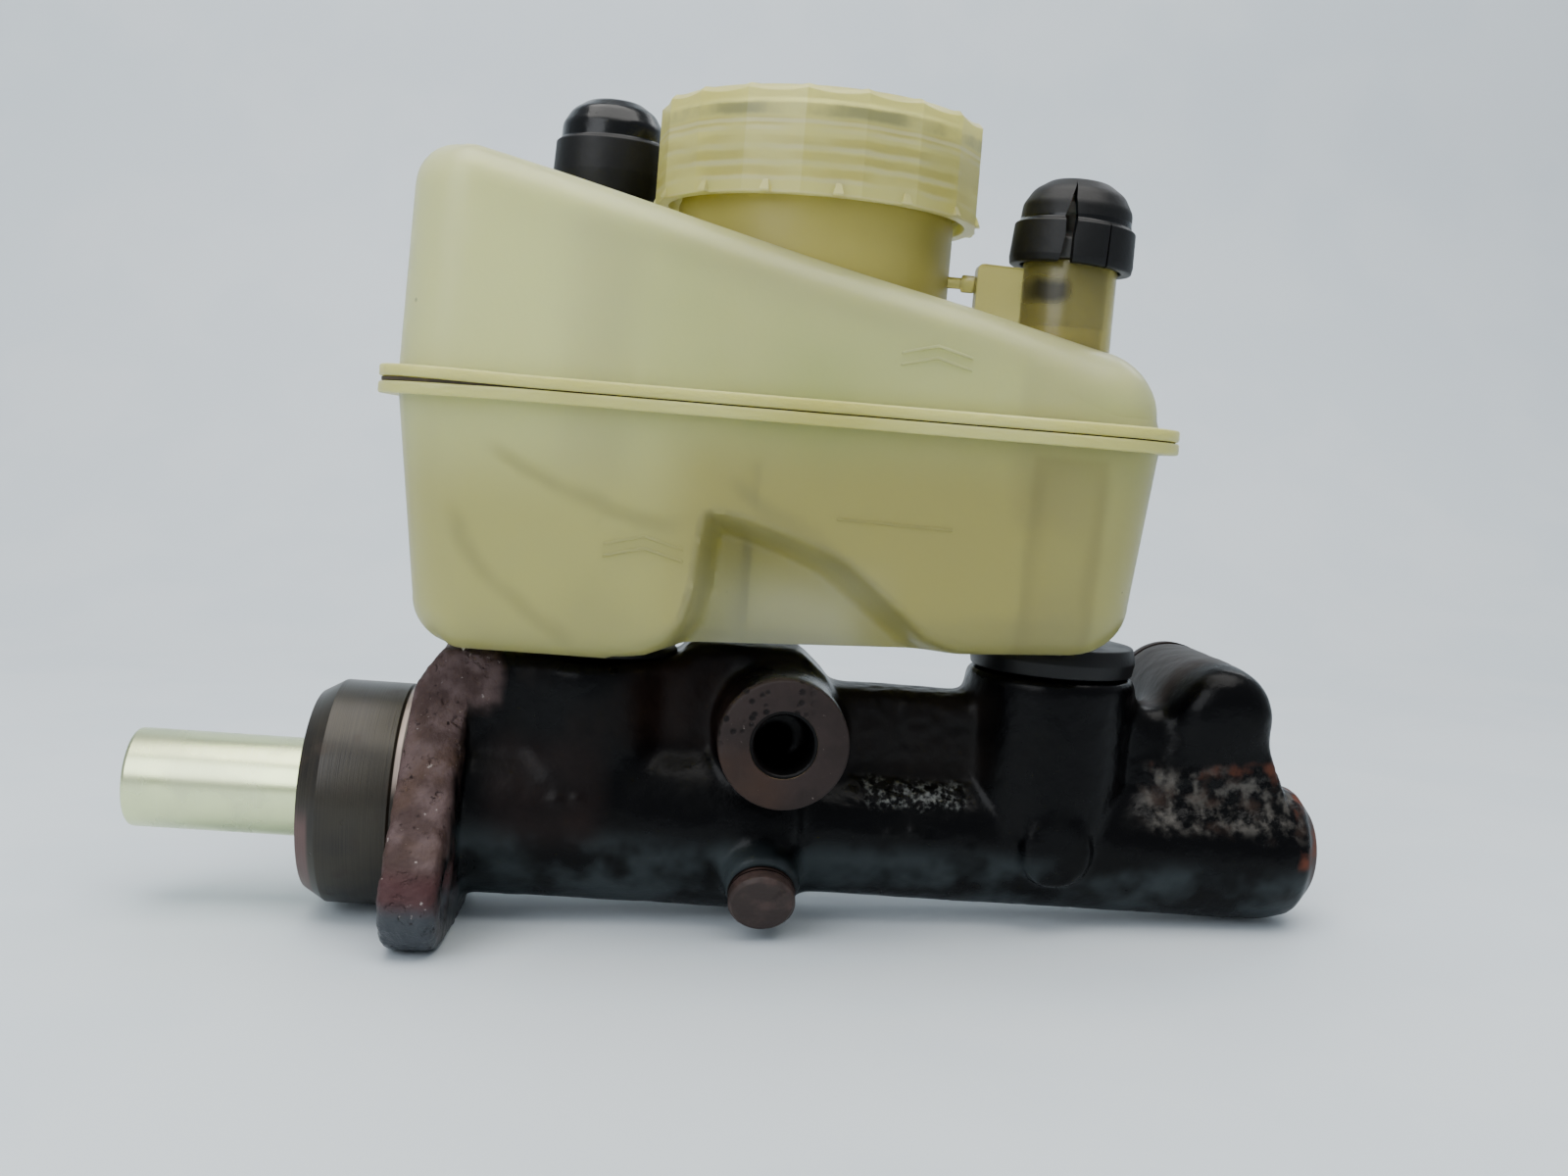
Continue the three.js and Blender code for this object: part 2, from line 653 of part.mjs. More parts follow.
function cap() {
  const flats = new THREE.CylinderGeometry(
    CAP_R - 0.3, CAP_R, CAP_TOP - CAP_BOTTOM - 0.8, CAP_FLATS,
  ).rotateX(Math.PI / 2).translate(0, 0, (CAP_TOP + CAP_BOTTOM - 0.8) / 2);
  const roof = turned([
    [CAP_TOP - 3, 0], [CAP_TOP - 3, CAP_R - 1.4], [CAP_TOP - 0.8, CAP_R - 1.4],
    [CAP_TOP, CAP_R - 3], [CAP_TOP, 0],
  ], 'z', 36);
  const inside = turned([
    [CAP_BOTTOM - 1, 0],
    [CAP_BOTTOM - 1, CAP_BORE_R],
    [CAP_TOP - CAP_ROOF, CAP_BORE_R],
    [CAP_TOP - CAP_ROOF, 0],
  ], 'z', 36);
  const shell = solid(flats).add(solid(roof)).subtract(solid(inside));
  return geometryOf(shell).translate(NECK_X, 0, 0);
}

function capSeal() {
  const seal = ring('z', 19, NECK_R, NECK_TOP + GAP, CAP_TOP - CAP_ROOF - GAP, 30);
  return seal.translate(NECK_X, 0, 0);
}

// ---- level warning contacts -----------------------------------------------------------------------

const INSERT_COLLAR = 4;
const PLUNGER_R = 1.6;
const CAGE_R = 6.8;

function onTower(geometry, tower) {
  return geometry.translate(tower.x, tower.y, tower.top);
}

// Dimensions below are heights above the tower's top.
function boot(tower) {
  return onTower(turned([
    [-0.9, 9.4], [-0.9, 11.5], [0.6, 11.7], [8.2, 11.4], [9, 10.3], [11.6, 9.9], [14.2, 7.8],
    [15.6, 4.4], [16, 0], [14.4, 0], [14, 3.8], [12.8, 6.6], [11, 8.4], [5, 9.8],
  ], 'z', 20), tower);
}

function contactInsert(tower) {
  const body = solid(turned([
    [-12, 0], [-12, TOWER_BORE_R - 0.25], [GAP, TOWER_BORE_R - 0.25], [GAP, TOWER_R],
    [INSERT_COLLAR, TOWER_R], [INSERT_COLLAR + 1.4, TOWER_R - 1.6], [INSERT_COLLAR + 1.4, 0],
  ], 'z', 24));
  const bore = solid(rod('z', PLUNGER_R + 0.3, -13, 8, 12));
  const slots = [-1, 1].map((side) => solid(box([side * 4.6 - 0.7, -2.6, -4], [side * 4.6 + 0.7, 2.6, 8])));
  return onTower(geometryOf(cut(body, [bore, ...slots])), tower);
}

// A flat blade standing in the insert, one each side of the plunger.
function terminal(tower, side) {
  const x = side * 4.6;
  return onTower(box([x - 0.4, -2.3, -3.7], [x + 0.4, 2.3, 8.6]), tower);
}

function testPlunger(tower) {
  return onTower(turned([
    [-14, 0], [-14, PLUNGER_R], [9.4, PLUNGER_R], [9.4, 3], [11.4, 3.2], [12.8, 2.4], [13.4, 0],
  ], 'z', 12), tower);
}

// A slotted tube below the insert that guides the float.
function floatCage(tower) {
  const bottom = -12 - tower.cage;
  const tube = solid(turned([
    [bottom, 2.4], [bottom, CAGE_R], [-12 - GAP, CAGE_R], [-12 - GAP, CAGE_R - 1],
    [bottom + 1.2, CAGE_R - 1], [bottom + 1.2, 2.4],
  ], 'z', 20));
  const slot = solid(box([-9, -1.5, bottom + 6], [9, 1.5, bottom + 26]));
  return onTower(geometryOf(tube.subtract(slot)), tower);
}

function float(tower) {
  const bottom = -12 - tower.cage + 1.2 + GAP;
  return onTower(turned([
    [bottom, 0], [bottom, 4.4], [bottom + 0.8, 5.2], [bottom + 11.2, 5.2], [bottom + 12, 4.4],
    [bottom + 12, 2.2], [bottom + 14, 2.2], [bottom + 14, 0],
  ], 'z', 20), tower);
}

// ---- pistons, cups and springs -----------------------------------------------------------------------

function primaryPiston() {
  const [rearLand, frontLand] = [PRIMARY_REAR_LAND, PRIMARY_FRONT_LAND];
  const body = solid(turned([
    [ROD_END, 0],
    [ROD_END, ROD_R - 1],
    [ROD_END + 1, ROD_R],
    [rearLand[0], ROD_R],
    [rearLand[0], PRIMARY_LAND_R],
    [rearLand[1], PRIMARY_LAND_R],
    [rearLand[1], PRIMARY_WAIST_R],
    [frontLand[0], PRIMARY_WAIST_R],
    [frontLand[0], PRIMARY_LAND_R],
    [frontLand[1], PRIMARY_LAND_R],
    [frontLand[1], PRIMARY_NOSE_R],
    [PRIMARY_NOSE_END, PRIMARY_NOSE_R],
    [PRIMARY_NOSE_END, 0],
  ]));
  const socketEnd = ROD_END + SOCKET_ROD_DEPTH;
  const socket = solid(turned([
    [ROD_END - 1, 0], [ROD_END - 1, SOCKET_ROD_R], [socketEnd - 4, SOCKET_ROD_R],
    [socketEnd - 1.2, 4.2], [socketEnd, 0],
  ], 'x', 24));
  const thread = solid(rod('x', SCREW_R + 0.3, frontLand[0], PRIMARY_NOSE_END + 1, 12));
  return cut(body, [socket, thread]);
}

function captiveScrew() {
  const [start, end] = AT.captiveScrew;
  const underHead = end - 3;
  return turned([
    [start, 0], [start, SCREW_R], [underHead, SCREW_R], [underHead, 3.8], [end, 3.8], [end, 0],
  ], 'x', 12);
}

// A thin cup held by the screw's head, with a rim that carries the spring's front end.
function stopSleeve() {
  const [start, end] = AT.stopSleeve;
  const rim = end - 1.4;
  return turned([
    [start, SCREW_R + 0.4], [start, 5], [rim, 5], [rim, 7.1], [end, 7.1], [end, 4.2],
    [start + 1.2, 4.2], [start + 1.2, SCREW_R + 0.4],
  ], 'x', 16);
}

function secondaryPiston() {
  const land = SECONDARY_LAND_R;
  const [rear, rearEnd] = SECONDARY_REAR_LAND;
  const [middle, middleEnd] = SECONDARY_MIDDLE_LAND;
  const [front, frontEnd] = SECONDARY_FRONT_LAND;
  const body = solid(turned([
    [rear, 0],
    [rear, land - 0.5],
    [rear + 0.5, land],
    [rearEnd, land],
    [rearEnd, SECONDARY_SEAT_R],
    [SECONDARY_RIB[0], SECONDARY_SEAT_R],
    [SECONDARY_RIB[0], land - 1],
    [SECONDARY_RIB[1], land - 1],
    [SECONDARY_RIB[1], SECONDARY_SEAT_R],
    [middle, SECONDARY_SEAT_R],
    [middle, land],
    [middleEnd, land],
    [middleEnd, SECONDARY_WAIST_R],
    [front, SECONDARY_WAIST_R],
    [front, land],
    [frontEnd, land],
    [frontEnd, SECONDARY_NOSE_R],
    [SECONDARY_NOSE_END, SECONDARY_NOSE_R],
    [SECONDARY_NOSE_END, 0],
  ]));
  return body.subtract(solid(rod('x', 4.6, rear - 1, SECONDARY_SOCKET_END, 16)));
}

class Coil extends THREE.Curve {
  constructor(from, to, radius, turns) {
    super();
    Object.assign(this, { from, to, radius, turns });
  }

  getPoint(t, target = new THREE.Vector3()) {
    const angle = t * this.turns * Math.PI * 2;
    const x = this.from + (this.to - this.from) * t;
    return target.set(x, this.radius * Math.cos(angle), this.radius * Math.sin(angle));
  }
}

const STEPS_PER_TURN = 10;
const WIRE_SIDES = 4;

function coilSpring([from, to], { radius, wire, turns }) {
  const section = new THREE.Shape();
  for (let i = 0; i < WIRE_SIDES; i += 1) {
    const angle = (i / WIRE_SIDES) * Math.PI * 2;
    const point = [wire * Math.cos(angle), wire * Math.sin(angle)];
    if (i === 0) {
      section.moveTo(...point);
    } else {
      section.lineTo(...point);
    }
  }
  const extrudePath = new Coil(from + wire, to - wire, radius, turns);
  const steps = Math.round(turns * STEPS_PER_TURN);
  return new THREE.ExtrudeGeometry(section, { extrudePath, steps });
}

// ---- assembly -----------------------------------------------------------------------------------------

const master = new THREE.Group();

function place(name, shape, material) {
  const geometry = geometryOf(shape.isBufferGeometry ? solid(shape) : shape);
  const mesh = new THREE.Mesh(geometry, material.clone());
  mesh.name = name;
  master.add(mesh);
}

const STEEL_FINISH = finish(STEEL, 0.4, 0.9);
const SPRING_FINISH = finish(0x55565a, 0.35, 0.9);
const RUBBER_FINISH = finish(RUBBER, 0.6, 0);
const BRASS_FINISH = finish(0xb58f4a, 0.3, 1);
const ROD_SEAL_R = [ROD_R + 0.1, GUIDE_BORE_R - 0.3];
const SECONDARY_SEAL_R = FRONT_BORE_R - 0.145;

place('cylinder_body', cylinderBody(), finish(IRON, 0.5, 0.6));
place('stop_screw', stopScrew(), finish(0x4a3c38, 0.6, 0.6));
place('stop_screw_washer', stopScrewWasher(), finish(0x8a5a3a, 0.4, 0.9));
place('circlip', circlip(), SPRING_FINISH);
place('stop_washer', stopWasher(), STEEL_FINISH);
place('vacuum_cup', lipSeal(...ROD_SEAL_R, AT.vacuumCup), RUBBER_FINISH);
place('guide_ring', guideRing(), finish(0xd8d4c4, 0.5, 0));
place('pressure_cup', lipSeal(...ROD_SEAL_R, AT.pressureCup), RUBBER_FINISH);
place('rear_grommet', grommet(REAR_INLET_X, REAR_INLET_TOP, 16.2, BELLY_Z - 0.2), RUBBER_FINISH);
place('front_grommet', grommet(FRONT_INLET_X, FRONT_INLET_TOP, 17.4, 39.3), RUBBER_FINISH);

place('reservoir_lower', reservoirLower(), clearPlastic(TANK, 0.85));
place('reservoir_upper', reservoirUpper(), clearPlastic(TANK, 0.85));
place('cap', cap(), clearPlastic(0xcdc79a, 0.9));
place('cap_seal', capSeal(), RUBBER_FINISH);

for (const [end, tower] of Object.entries(TOWERS)) {
  place(`${end}_boot`, boot(tower), finish(RUBBER, 0.4, 0));
  place(`${end}_contact_insert`, contactInsert(tower), finish(0x2b2b28, 0.5, 0));
  place(`${end}_terminal_a`, terminal(tower, -1), BRASS_FINISH);
  place(`${end}_terminal_b`, terminal(tower, 1), BRASS_FINISH);
  place(`${end}_test_plunger`, testPlunger(tower), finish(0xd9d5c8, 0.5, 0));
  place(`${end}_float_cage`, floatCage(tower), finish(0xcfcbb4, 0.5, 0));
  place(`${end}_float`, float(tower), finish(0xe4e0cf, 0.6, 0));
}

place('primary_piston', primaryPiston(), finish(GOLD, 0.3, 1));
place('primary_cup_washer', ring('x', 6.7, 11.4, ...AT.primaryCupWasher), STEEL_FINISH);
place('primary_cup', lipSeal(6.6, REAR_BORE_R - 0.155, AT.primaryCup), RUBBER_FINISH);
place('primary_spring_seat', ring('x', 2.4, 7.2, ...AT.primarySpringSeat, 16), STEEL_FINISH);
place('captive_screw', captiveScrew(), STEEL_FINISH);
place('stop_sleeve', stopSleeve(), STEEL_FINISH);
place('primary_spring', coilSpring(AT.primarySpring, PRIMARY_COIL), SPRING_FINISH);

place('secondary_piston', secondaryPiston(), finish(GOLD, 0.3, 1));
place('separating_cup_rear', lipSeal(6.3, SECONDARY_SEAL_R, AT.separatingCupRear), RUBBER_FINISH);
place('separating_cup_front', lipSeal(6.3, SECONDARY_SEAL_R, AT.separatingCupFront), RUBBER_FINISH);
place('secondary_cup_washer', ring('x', 5.4, 9.1, ...AT.secondaryCupWasher), STEEL_FINISH);
place('secondary_cup', lipSeal(5.3, SECONDARY_SEAL_R, AT.secondaryCup), RUBBER_FINISH);
place('secondary_spring_seat', ring('x', 3, 8.6, ...AT.secondarySpringSeat, 16), STEEL_FINISH);
place('secondary_spring', coilSpring(AT.secondarySpring, SECONDARY_COIL), SPRING_FINISH);

export default master;
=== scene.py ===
"""Looks of the tandem brake master cylinder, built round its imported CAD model.

Lengths are millimetres in the row frame until a mesh is made: the origin is the centre of
the flange's rear face, +X runs along the bore to the closed end, -Y is the near side, +Z up.
"""

import json
import math

import bmesh
import bpy
import numpy as np
from mathutils import Matrix, Vector, noise


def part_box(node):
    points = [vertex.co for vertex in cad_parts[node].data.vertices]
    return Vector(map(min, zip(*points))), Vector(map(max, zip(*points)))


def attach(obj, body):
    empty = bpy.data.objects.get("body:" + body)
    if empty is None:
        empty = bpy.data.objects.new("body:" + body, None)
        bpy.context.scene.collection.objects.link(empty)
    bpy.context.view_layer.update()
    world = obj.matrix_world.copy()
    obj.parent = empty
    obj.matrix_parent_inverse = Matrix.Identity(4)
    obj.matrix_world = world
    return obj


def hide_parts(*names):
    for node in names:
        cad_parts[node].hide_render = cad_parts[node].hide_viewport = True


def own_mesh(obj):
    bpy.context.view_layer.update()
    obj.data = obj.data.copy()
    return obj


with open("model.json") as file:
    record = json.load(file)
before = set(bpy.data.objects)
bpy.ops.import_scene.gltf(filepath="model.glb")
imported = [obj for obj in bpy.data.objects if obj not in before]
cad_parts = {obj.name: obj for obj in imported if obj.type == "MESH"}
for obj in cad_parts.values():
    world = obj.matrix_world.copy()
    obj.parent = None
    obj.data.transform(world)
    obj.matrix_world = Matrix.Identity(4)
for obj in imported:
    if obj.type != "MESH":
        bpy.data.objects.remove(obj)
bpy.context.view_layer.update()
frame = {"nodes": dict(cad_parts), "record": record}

MM = 0.001
BODY_OF = {
    node: body
    for body, nodes in frame["record"]["behaviour"]["bodies"].items()
    for node in nodes
}


def span(node):
    """The lowest and highest corner of a CAD node, in millimetres."""
    low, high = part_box(node)
    return low / MM, high / MM


# ---- driving dimensions --------------------------------------------------------------

WALL = 2.2
SEAM_Z = span("reservoir_lower")[1].z + 0.1
LIP_OUT = 3.4
LIP_THICK = 2.2
TANK_REAR = span("reservoir_lower")[0].x + LIP_OUT
TANK_FRONT = span("reservoir_lower")[1].x - LIP_OUT
TANK_HALF = span("reservoir_lower")[1].y - LIP_OUT
PLAN_R = 12
DECK_AT_ORIGIN = 122.8
DECK_SLOPE = 0.2092
FLOOR = [(1, 33.8), (42, 33.8), (49.5, 36.5), (102, 38.8), (134, 40.8)]  # X and Z
POCKET_Y = 16
NEAR_POCKET = [
    (38, 20), (106, 20), (104, 37), (94, 41.2), (85, 48.5), (78, 53.6), (70, 57), (60, 60),
    (54.4, 60.8), (53.6, 56), (53.2, 48), (51.6, 41.6), (48.4, 37), (44, 34.4), (38, 33.8),
]
SHADOW_LINES = [  # X and Z of what shows faintly through the lower half's wall
    ((8, 59), (17, 46)), ((17, 46), (31, 37)), ((15, 71), (28, 63)), ((28, 63), (48, 59)),
    ((57, 68), (72, 59)), ((72, 59), (84, 50)), ((84, 50), (93, 42)), ((112, 74), (112, 42)),
    ((124, 74), (124, 42)),
]
FAR_POCKET = [(22, 20), (108, 20), (104, 38), (90, 44), (74, 57), (56, 61), (40, 52), (24, 36)]

SPIGOT_REAR = span("cylinder_body")[0].x
SPIGOT_R = 22
GUIDE_BORE_R = 15.5
CIRCLIP_GROOVE_R = 16.6
CIRCLIP_X = (-17.4, -15.6)
EAR = (28.5, 11.5, 10.5)  # Y, Z and radius of the far ear; the near one is its mirror
BOLT_HOLE_R = 4.25
BARREL_R = (18.4, 14.4)
INLETS = (34, 125.9)
REAR_PORT = {"x": 70.6, "z": 20.5, "face": -30.4, "r": 12.3}
FRONT_PORT = {"x": 159.5, "z": 27.4, "face": 31, "r": 11.4}
PORT_DEPTH = 14
STOP_X = 69.3
PIPS = [  # X, Z and size of small cast bumps
    (94, 1.5, 1.3), (98.5, 2.2, 1), (101, 0.8, 1.2), (29, 4.6, 1.2), (33, 5, 1), (33.5, -3.5, 1.4),
    (110, -1, 1),
]
STOP_TURN = math.radians(115)

NECK_X = 70.8
NECK_TOP = 134.8
NECK_BORE_R = 24.2
NECK_R = 26.4
CAP_R = 31.6
CAP_BORE_R = 29
CAP_BOTTOM = 119.5
CAP_TOP = 138.8
CAP_FLATS = 18
CAP_NIBS = 15
THREAD_LEAD = 6
TOWERS = {"rear": (29, 20, 126.8, 49.9), "front": (118.8, -14, 113.4, 38)}
TOWER_R = 8.9
TOWER_BORE_R = 7.6
ROD_R = 9.7
ROD_END = span("primary_piston")[0].x


def deck(x):
    return DECK_AT_ORIGIN - DECK_SLOPE * x


def crown(x):
    """How far the deck's skin bows up over its plane, most at the rear."""
    return 0.4 + 1.9 * (1 - smoothstep(6, 86, x))


def smoothstep(low, high, value):
    t = np.clip((value - low) / (high - low), 0, 1)
    return t * t * (3 - 2 * t)


# ---- shapes: each is (vertices in mm, faces) -------------------------------------------


def merged(*shapes):
    verts, faces = [], []
    for some_verts, some_faces in shapes:
        base = len(verts)
        verts.extend(some_verts)
        faces.extend(tuple(i + base for i in face) for face in some_faces)
    return verts, faces


def moved(shape, matrix):
    return [tuple(matrix @ Vector(v)) for v in shape[0]], shape[1]


def rounded(points, closed, fillet=0.0, steps=3):
    """The corners of an outline turned into arcs. A point is (a, b) or (a, b, its radius)."""
    out = []
    for i, point in enumerate(points):
        radius = point[2] if len(point) > 2 else fillet
        corner = Vector(point[:2])
        if radius == 0 or (not closed and i in (0, len(points) - 1)):
            out.append(tuple(corner))
            continue
        back = Vector(points[i - 1][:2]) - corner
        ahead = Vector(points[(i + 1) % len(points)][:2]) - corner
        half = back.angle(ahead) / 2
        if half > math.pi / 2 - 0.02 or half < 0.02:
            out.append(tuple(corner))
            continue
        reach = min(radius / math.tan(half), back.length * 0.48, ahead.length * 0.48)
        start = corner + back.normalized() * reach
        end = corner + ahead.normalized() * reach
        bisector = (back.normalized() + ahead.normalized()).normalized()
        centre = corner + bisector * (reach / math.cos(half))
        first = math.atan2(*(start - centre).yx)
        turn = (math.atan2(*(end - centre).yx) - first + math.pi) % (2 * math.pi) - math.pi
        size = (start - centre).length
        for k in range(steps + 1):
            angle = first + turn * k / steps
            out.append((centre.x + size * math.cos(angle), centre.y + size * math.sin(angle)))
    return out


def around(axis, along, radius, angle):
    """A point at an angle round one of the frame's axes."""
    side, other = radius * math.cos(angle), radius * math.sin(angle)
    return {"x": (along, side, other), "y": (other, along, side), "z": (side, other, along)}[axis]


def lathe(profile, axis="x", at=(0, 0, 0), segments=72, fillet=0.3, arc=None, steps=3):
    """Turns (along, radius, corner radius) points round an axis. A profile that starts off
    the axis is the closed section of a ring. arc is the part of a turn to make, if not all."""
    closed = profile[0][1] > 0
    points = rounded(profile, closed, fillet, steps)
    first, last = arc or (0, 2 * math.pi)
    count = segments + 1 if arc else segments
    verts, rows = [], []
    for along, radius in points:
        row = []
        for k in range(count if radius > 1e-6 else 1):
            row.append(len(verts))
            spot = around(axis, along, radius, first + (last - first) * k / segments)
            verts.append(tuple(p + q for p, q in zip(spot, at)))
        rows.append(row)
    faces = []
    pairs = list(zip(rows, rows[1:] + rows[:1])) if closed else list(zip(rows, rows[1:]))
    for low, high in pairs:
        for k in range(segments):
            after = k + 1 if arc else (k + 1) % segments
            if len(low) == 1 and len(high) > 1:
                faces.append((low[0], high[k], high[after]))
            elif len(high) == 1 and len(low) > 1:
                faces.append((low[k], low[after], high[0]))
            elif len(low) > 1:
                faces.append((low[k], low[after], high[after], high[k]))
    if arc:
        faces.append(tuple(row[0] for row in rows))
        faces.append(tuple(row[-1] for row in reversed(rows)))
    return verts, faces


def rod(radius, low, high, axis="x", at=(0, 0, 0), segments=72):
    """A plain cylinder along an axis, for cutting."""
    return lathe([(low, 0), (low, radius), (high, radius), (high, 0)], axis, at, segments, 0)


def band(low, high, inner, outer, *edge):
    """The profile of a flat ring, with a radius on its outer edges if one is given."""
    return [(low, inner), (low, outer, *edge), (high, outer, *edge), (high, inner)]


def helix(
    axis, at, radius, start, end, turns, section, taper=0.0, steps_per_turn=40, flat_ends=0.0,
):
    """Sweeps a section of (outwards, along) points round an axis, as a thread or a coil.
    taper is the share of the length over which a thread rises from nothing at each end."""
    steps = round(turns * steps_per_turn)
    verts, faces = [], []
    size = len(section)
    for i in range(steps + 1):
        t = i / steps
        angle = t * turns * 2 * math.pi
        rise = t + flat_ends * math.sin(4 * math.pi * t) / (4 * math.pi)
        along = start + (end - start) * rise
        grow = min(1.0, t / taper, (1 - t) / taper) if taper else 1.0
        for outwards, forward in section:
            place = along + forward * max(grow, 0.25)
            spot = around(axis, place, radius + outwards * max(grow, 0.02), angle)
            verts.append(tuple(p + q for p, q in zip(spot, at)))
    for i in range(steps):
        for k in range(size):
            after = (k + 1) % size
            row, following = i * size, (i + 1) * size
            faces.append((row + k, row + after, following + after, following + k))
    faces.append(tuple(range(size)))
    faces.append(tuple(steps * size + k for k in reversed(range(size))))
    return verts, faces


def wire_section(radius, sides=10):
    return [
        (radius * math.cos(2 * math.pi * k / sides), radius * math.sin(2 * math.pi * k / sides))
        for k in range(sides)
    ]


def shrunk(outline, by):
    """A closed outline moved inwards by a distance, each point along its own normal."""
    points = [Vector(p) for p in outline]
    area = sum(points[i - 1].cross(points[i]) for i in range(len(points)))
    side = 1 if area > 0 else -1
    out = []
    for i, point in enumerate(points):
        ahead = (points[(i + 1) % len(points)] - point).normalized()
        back = (point - points[i - 1]).normalized()
        along = (ahead + back).normalized()
        out.append(tuple(point + Vector((-along.y, along.x)) * (by * side)))
    return out


PLANES = {
    "x": lambda a, b, c: (c, a, b),
    "y": lambda a, b, c: (a, c, b),
    "z": lambda a, b, c: (a, b, c),
}


def prism(outline, axis, start, end, bevel=0.2, fillet=0.0):
    """An outline in the plane across an axis, drawn out along it, with its edges broken."""
    ring = rounded(outline, True, fillet)
    inner = shrunk(ring, bevel)
    layers = [(inner, start), (ring, start + bevel), (ring, end - bevel), (inner, end)]
    rings = [[PLANES[axis](*point, along) for point in points] for points, along in layers]
    return loft(rings, cap_first=True, cap_last=True)


def slab(axis, low, high, start, end, **edges):
    """A prism whose outline is the rectangle between two corners."""
    outline = [low, (high[0], low[1]), high, (low[0], high[1])]
    return prism(outline, axis, start, end, **edges)


def loft(rings, cap_first=False, cap_last=False, looped=False):
    """Joins closed rings of the same number of points, and the last to the first if looped."""
    size = len(rings[0])
    verts = [tuple(p) for ring in rings for p in ring]
    faces = []
    for low in range(0, size * (len(rings) - 1), size):
        for k in range(size):
            after = (k + 1) % size
            faces.append((low + k, low + after, low + size + after, low + size + k))
    last = size * (len(rings) - 1)
    if cap_first:
        faces.append(tuple(range(size)))
    if cap_last:
        faces.append(tuple(last + k for k in range(size)))
    if looped:
        for k in range(size):
            after = (k + 1) % size
            faces.append((last + k, last + after, after, k))
    return verts, faces


# ---- objects ------------------------------------------------------------------------------


def mesh_object(name, shape, material, sharp=40):
    mesh = bpy.data.meshes.new(name)
    mesh.from_pydata([tuple(c * MM for c in v) for v in shape[0]], [], shape[1])
    bm = bmesh.new()
    bm.from_mesh(mesh)
    bmesh.ops.recalc_face_normals(bm, faces=bm.faces)
    bm.to_mesh(mesh)
    bm.free()
    mesh.materials.append(material)
    thing = bpy.data.objects.new(name, mesh)
    bpy.context.scene.collection.objects.link(thing)
    return sharpened(thing, sharp)


def sharpened(thing, sharp=40):
    """Smooth shading, but for the edges sharper than an angle in degrees."""
    thing.data.shade_smooth()
    thing.data.set_sharp_from_angle(angle=math.radians(sharp))
    return thing


def fixed(thing, node=None):
    """Puts a piece on the body of the CAD node that it stands for, or else on the housing."""
    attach(thing, BODY_OF.get(node, "housing"))
    if node:
        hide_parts(node)
    return thing


def baked(thing):
    """Applies the modifiers of an object to its mesh."""
    graph = bpy.context.evaluated_depsgraph_get()
    mesh = bpy.data.meshes.new_from_object(thing.evaluated_get(graph))
    thing.modifiers.clear()
    thing.data = mesh
    return thing


def cut(thing, *tools):
    """Takes solid shapes out of an object."""
    for shape in tools:
        tool = mesh_object("tool", shape, thing.data.materials[0])
        modifier = thing.modifiers.new("cut", "BOOLEAN")
        modifier.object = tool
        modifier.operation = "DIFFERENCE"
        modifier.solver = "EXACT"
        baked(thing)
        bpy.data.objects.remove(tool)
    return thing


# ---- materials ----------------------------------------------------------------------------


def colour(red, green, blue):
    """A display colour, 0 to 255, as linear light."""
    shares = [c / 255 for c in (red, green, blue)]
    return (*(c / 12.92 if c <= 10 / 255 else ((c + 0.055) / 1.055) ** 2.4 for c in shares), 1)


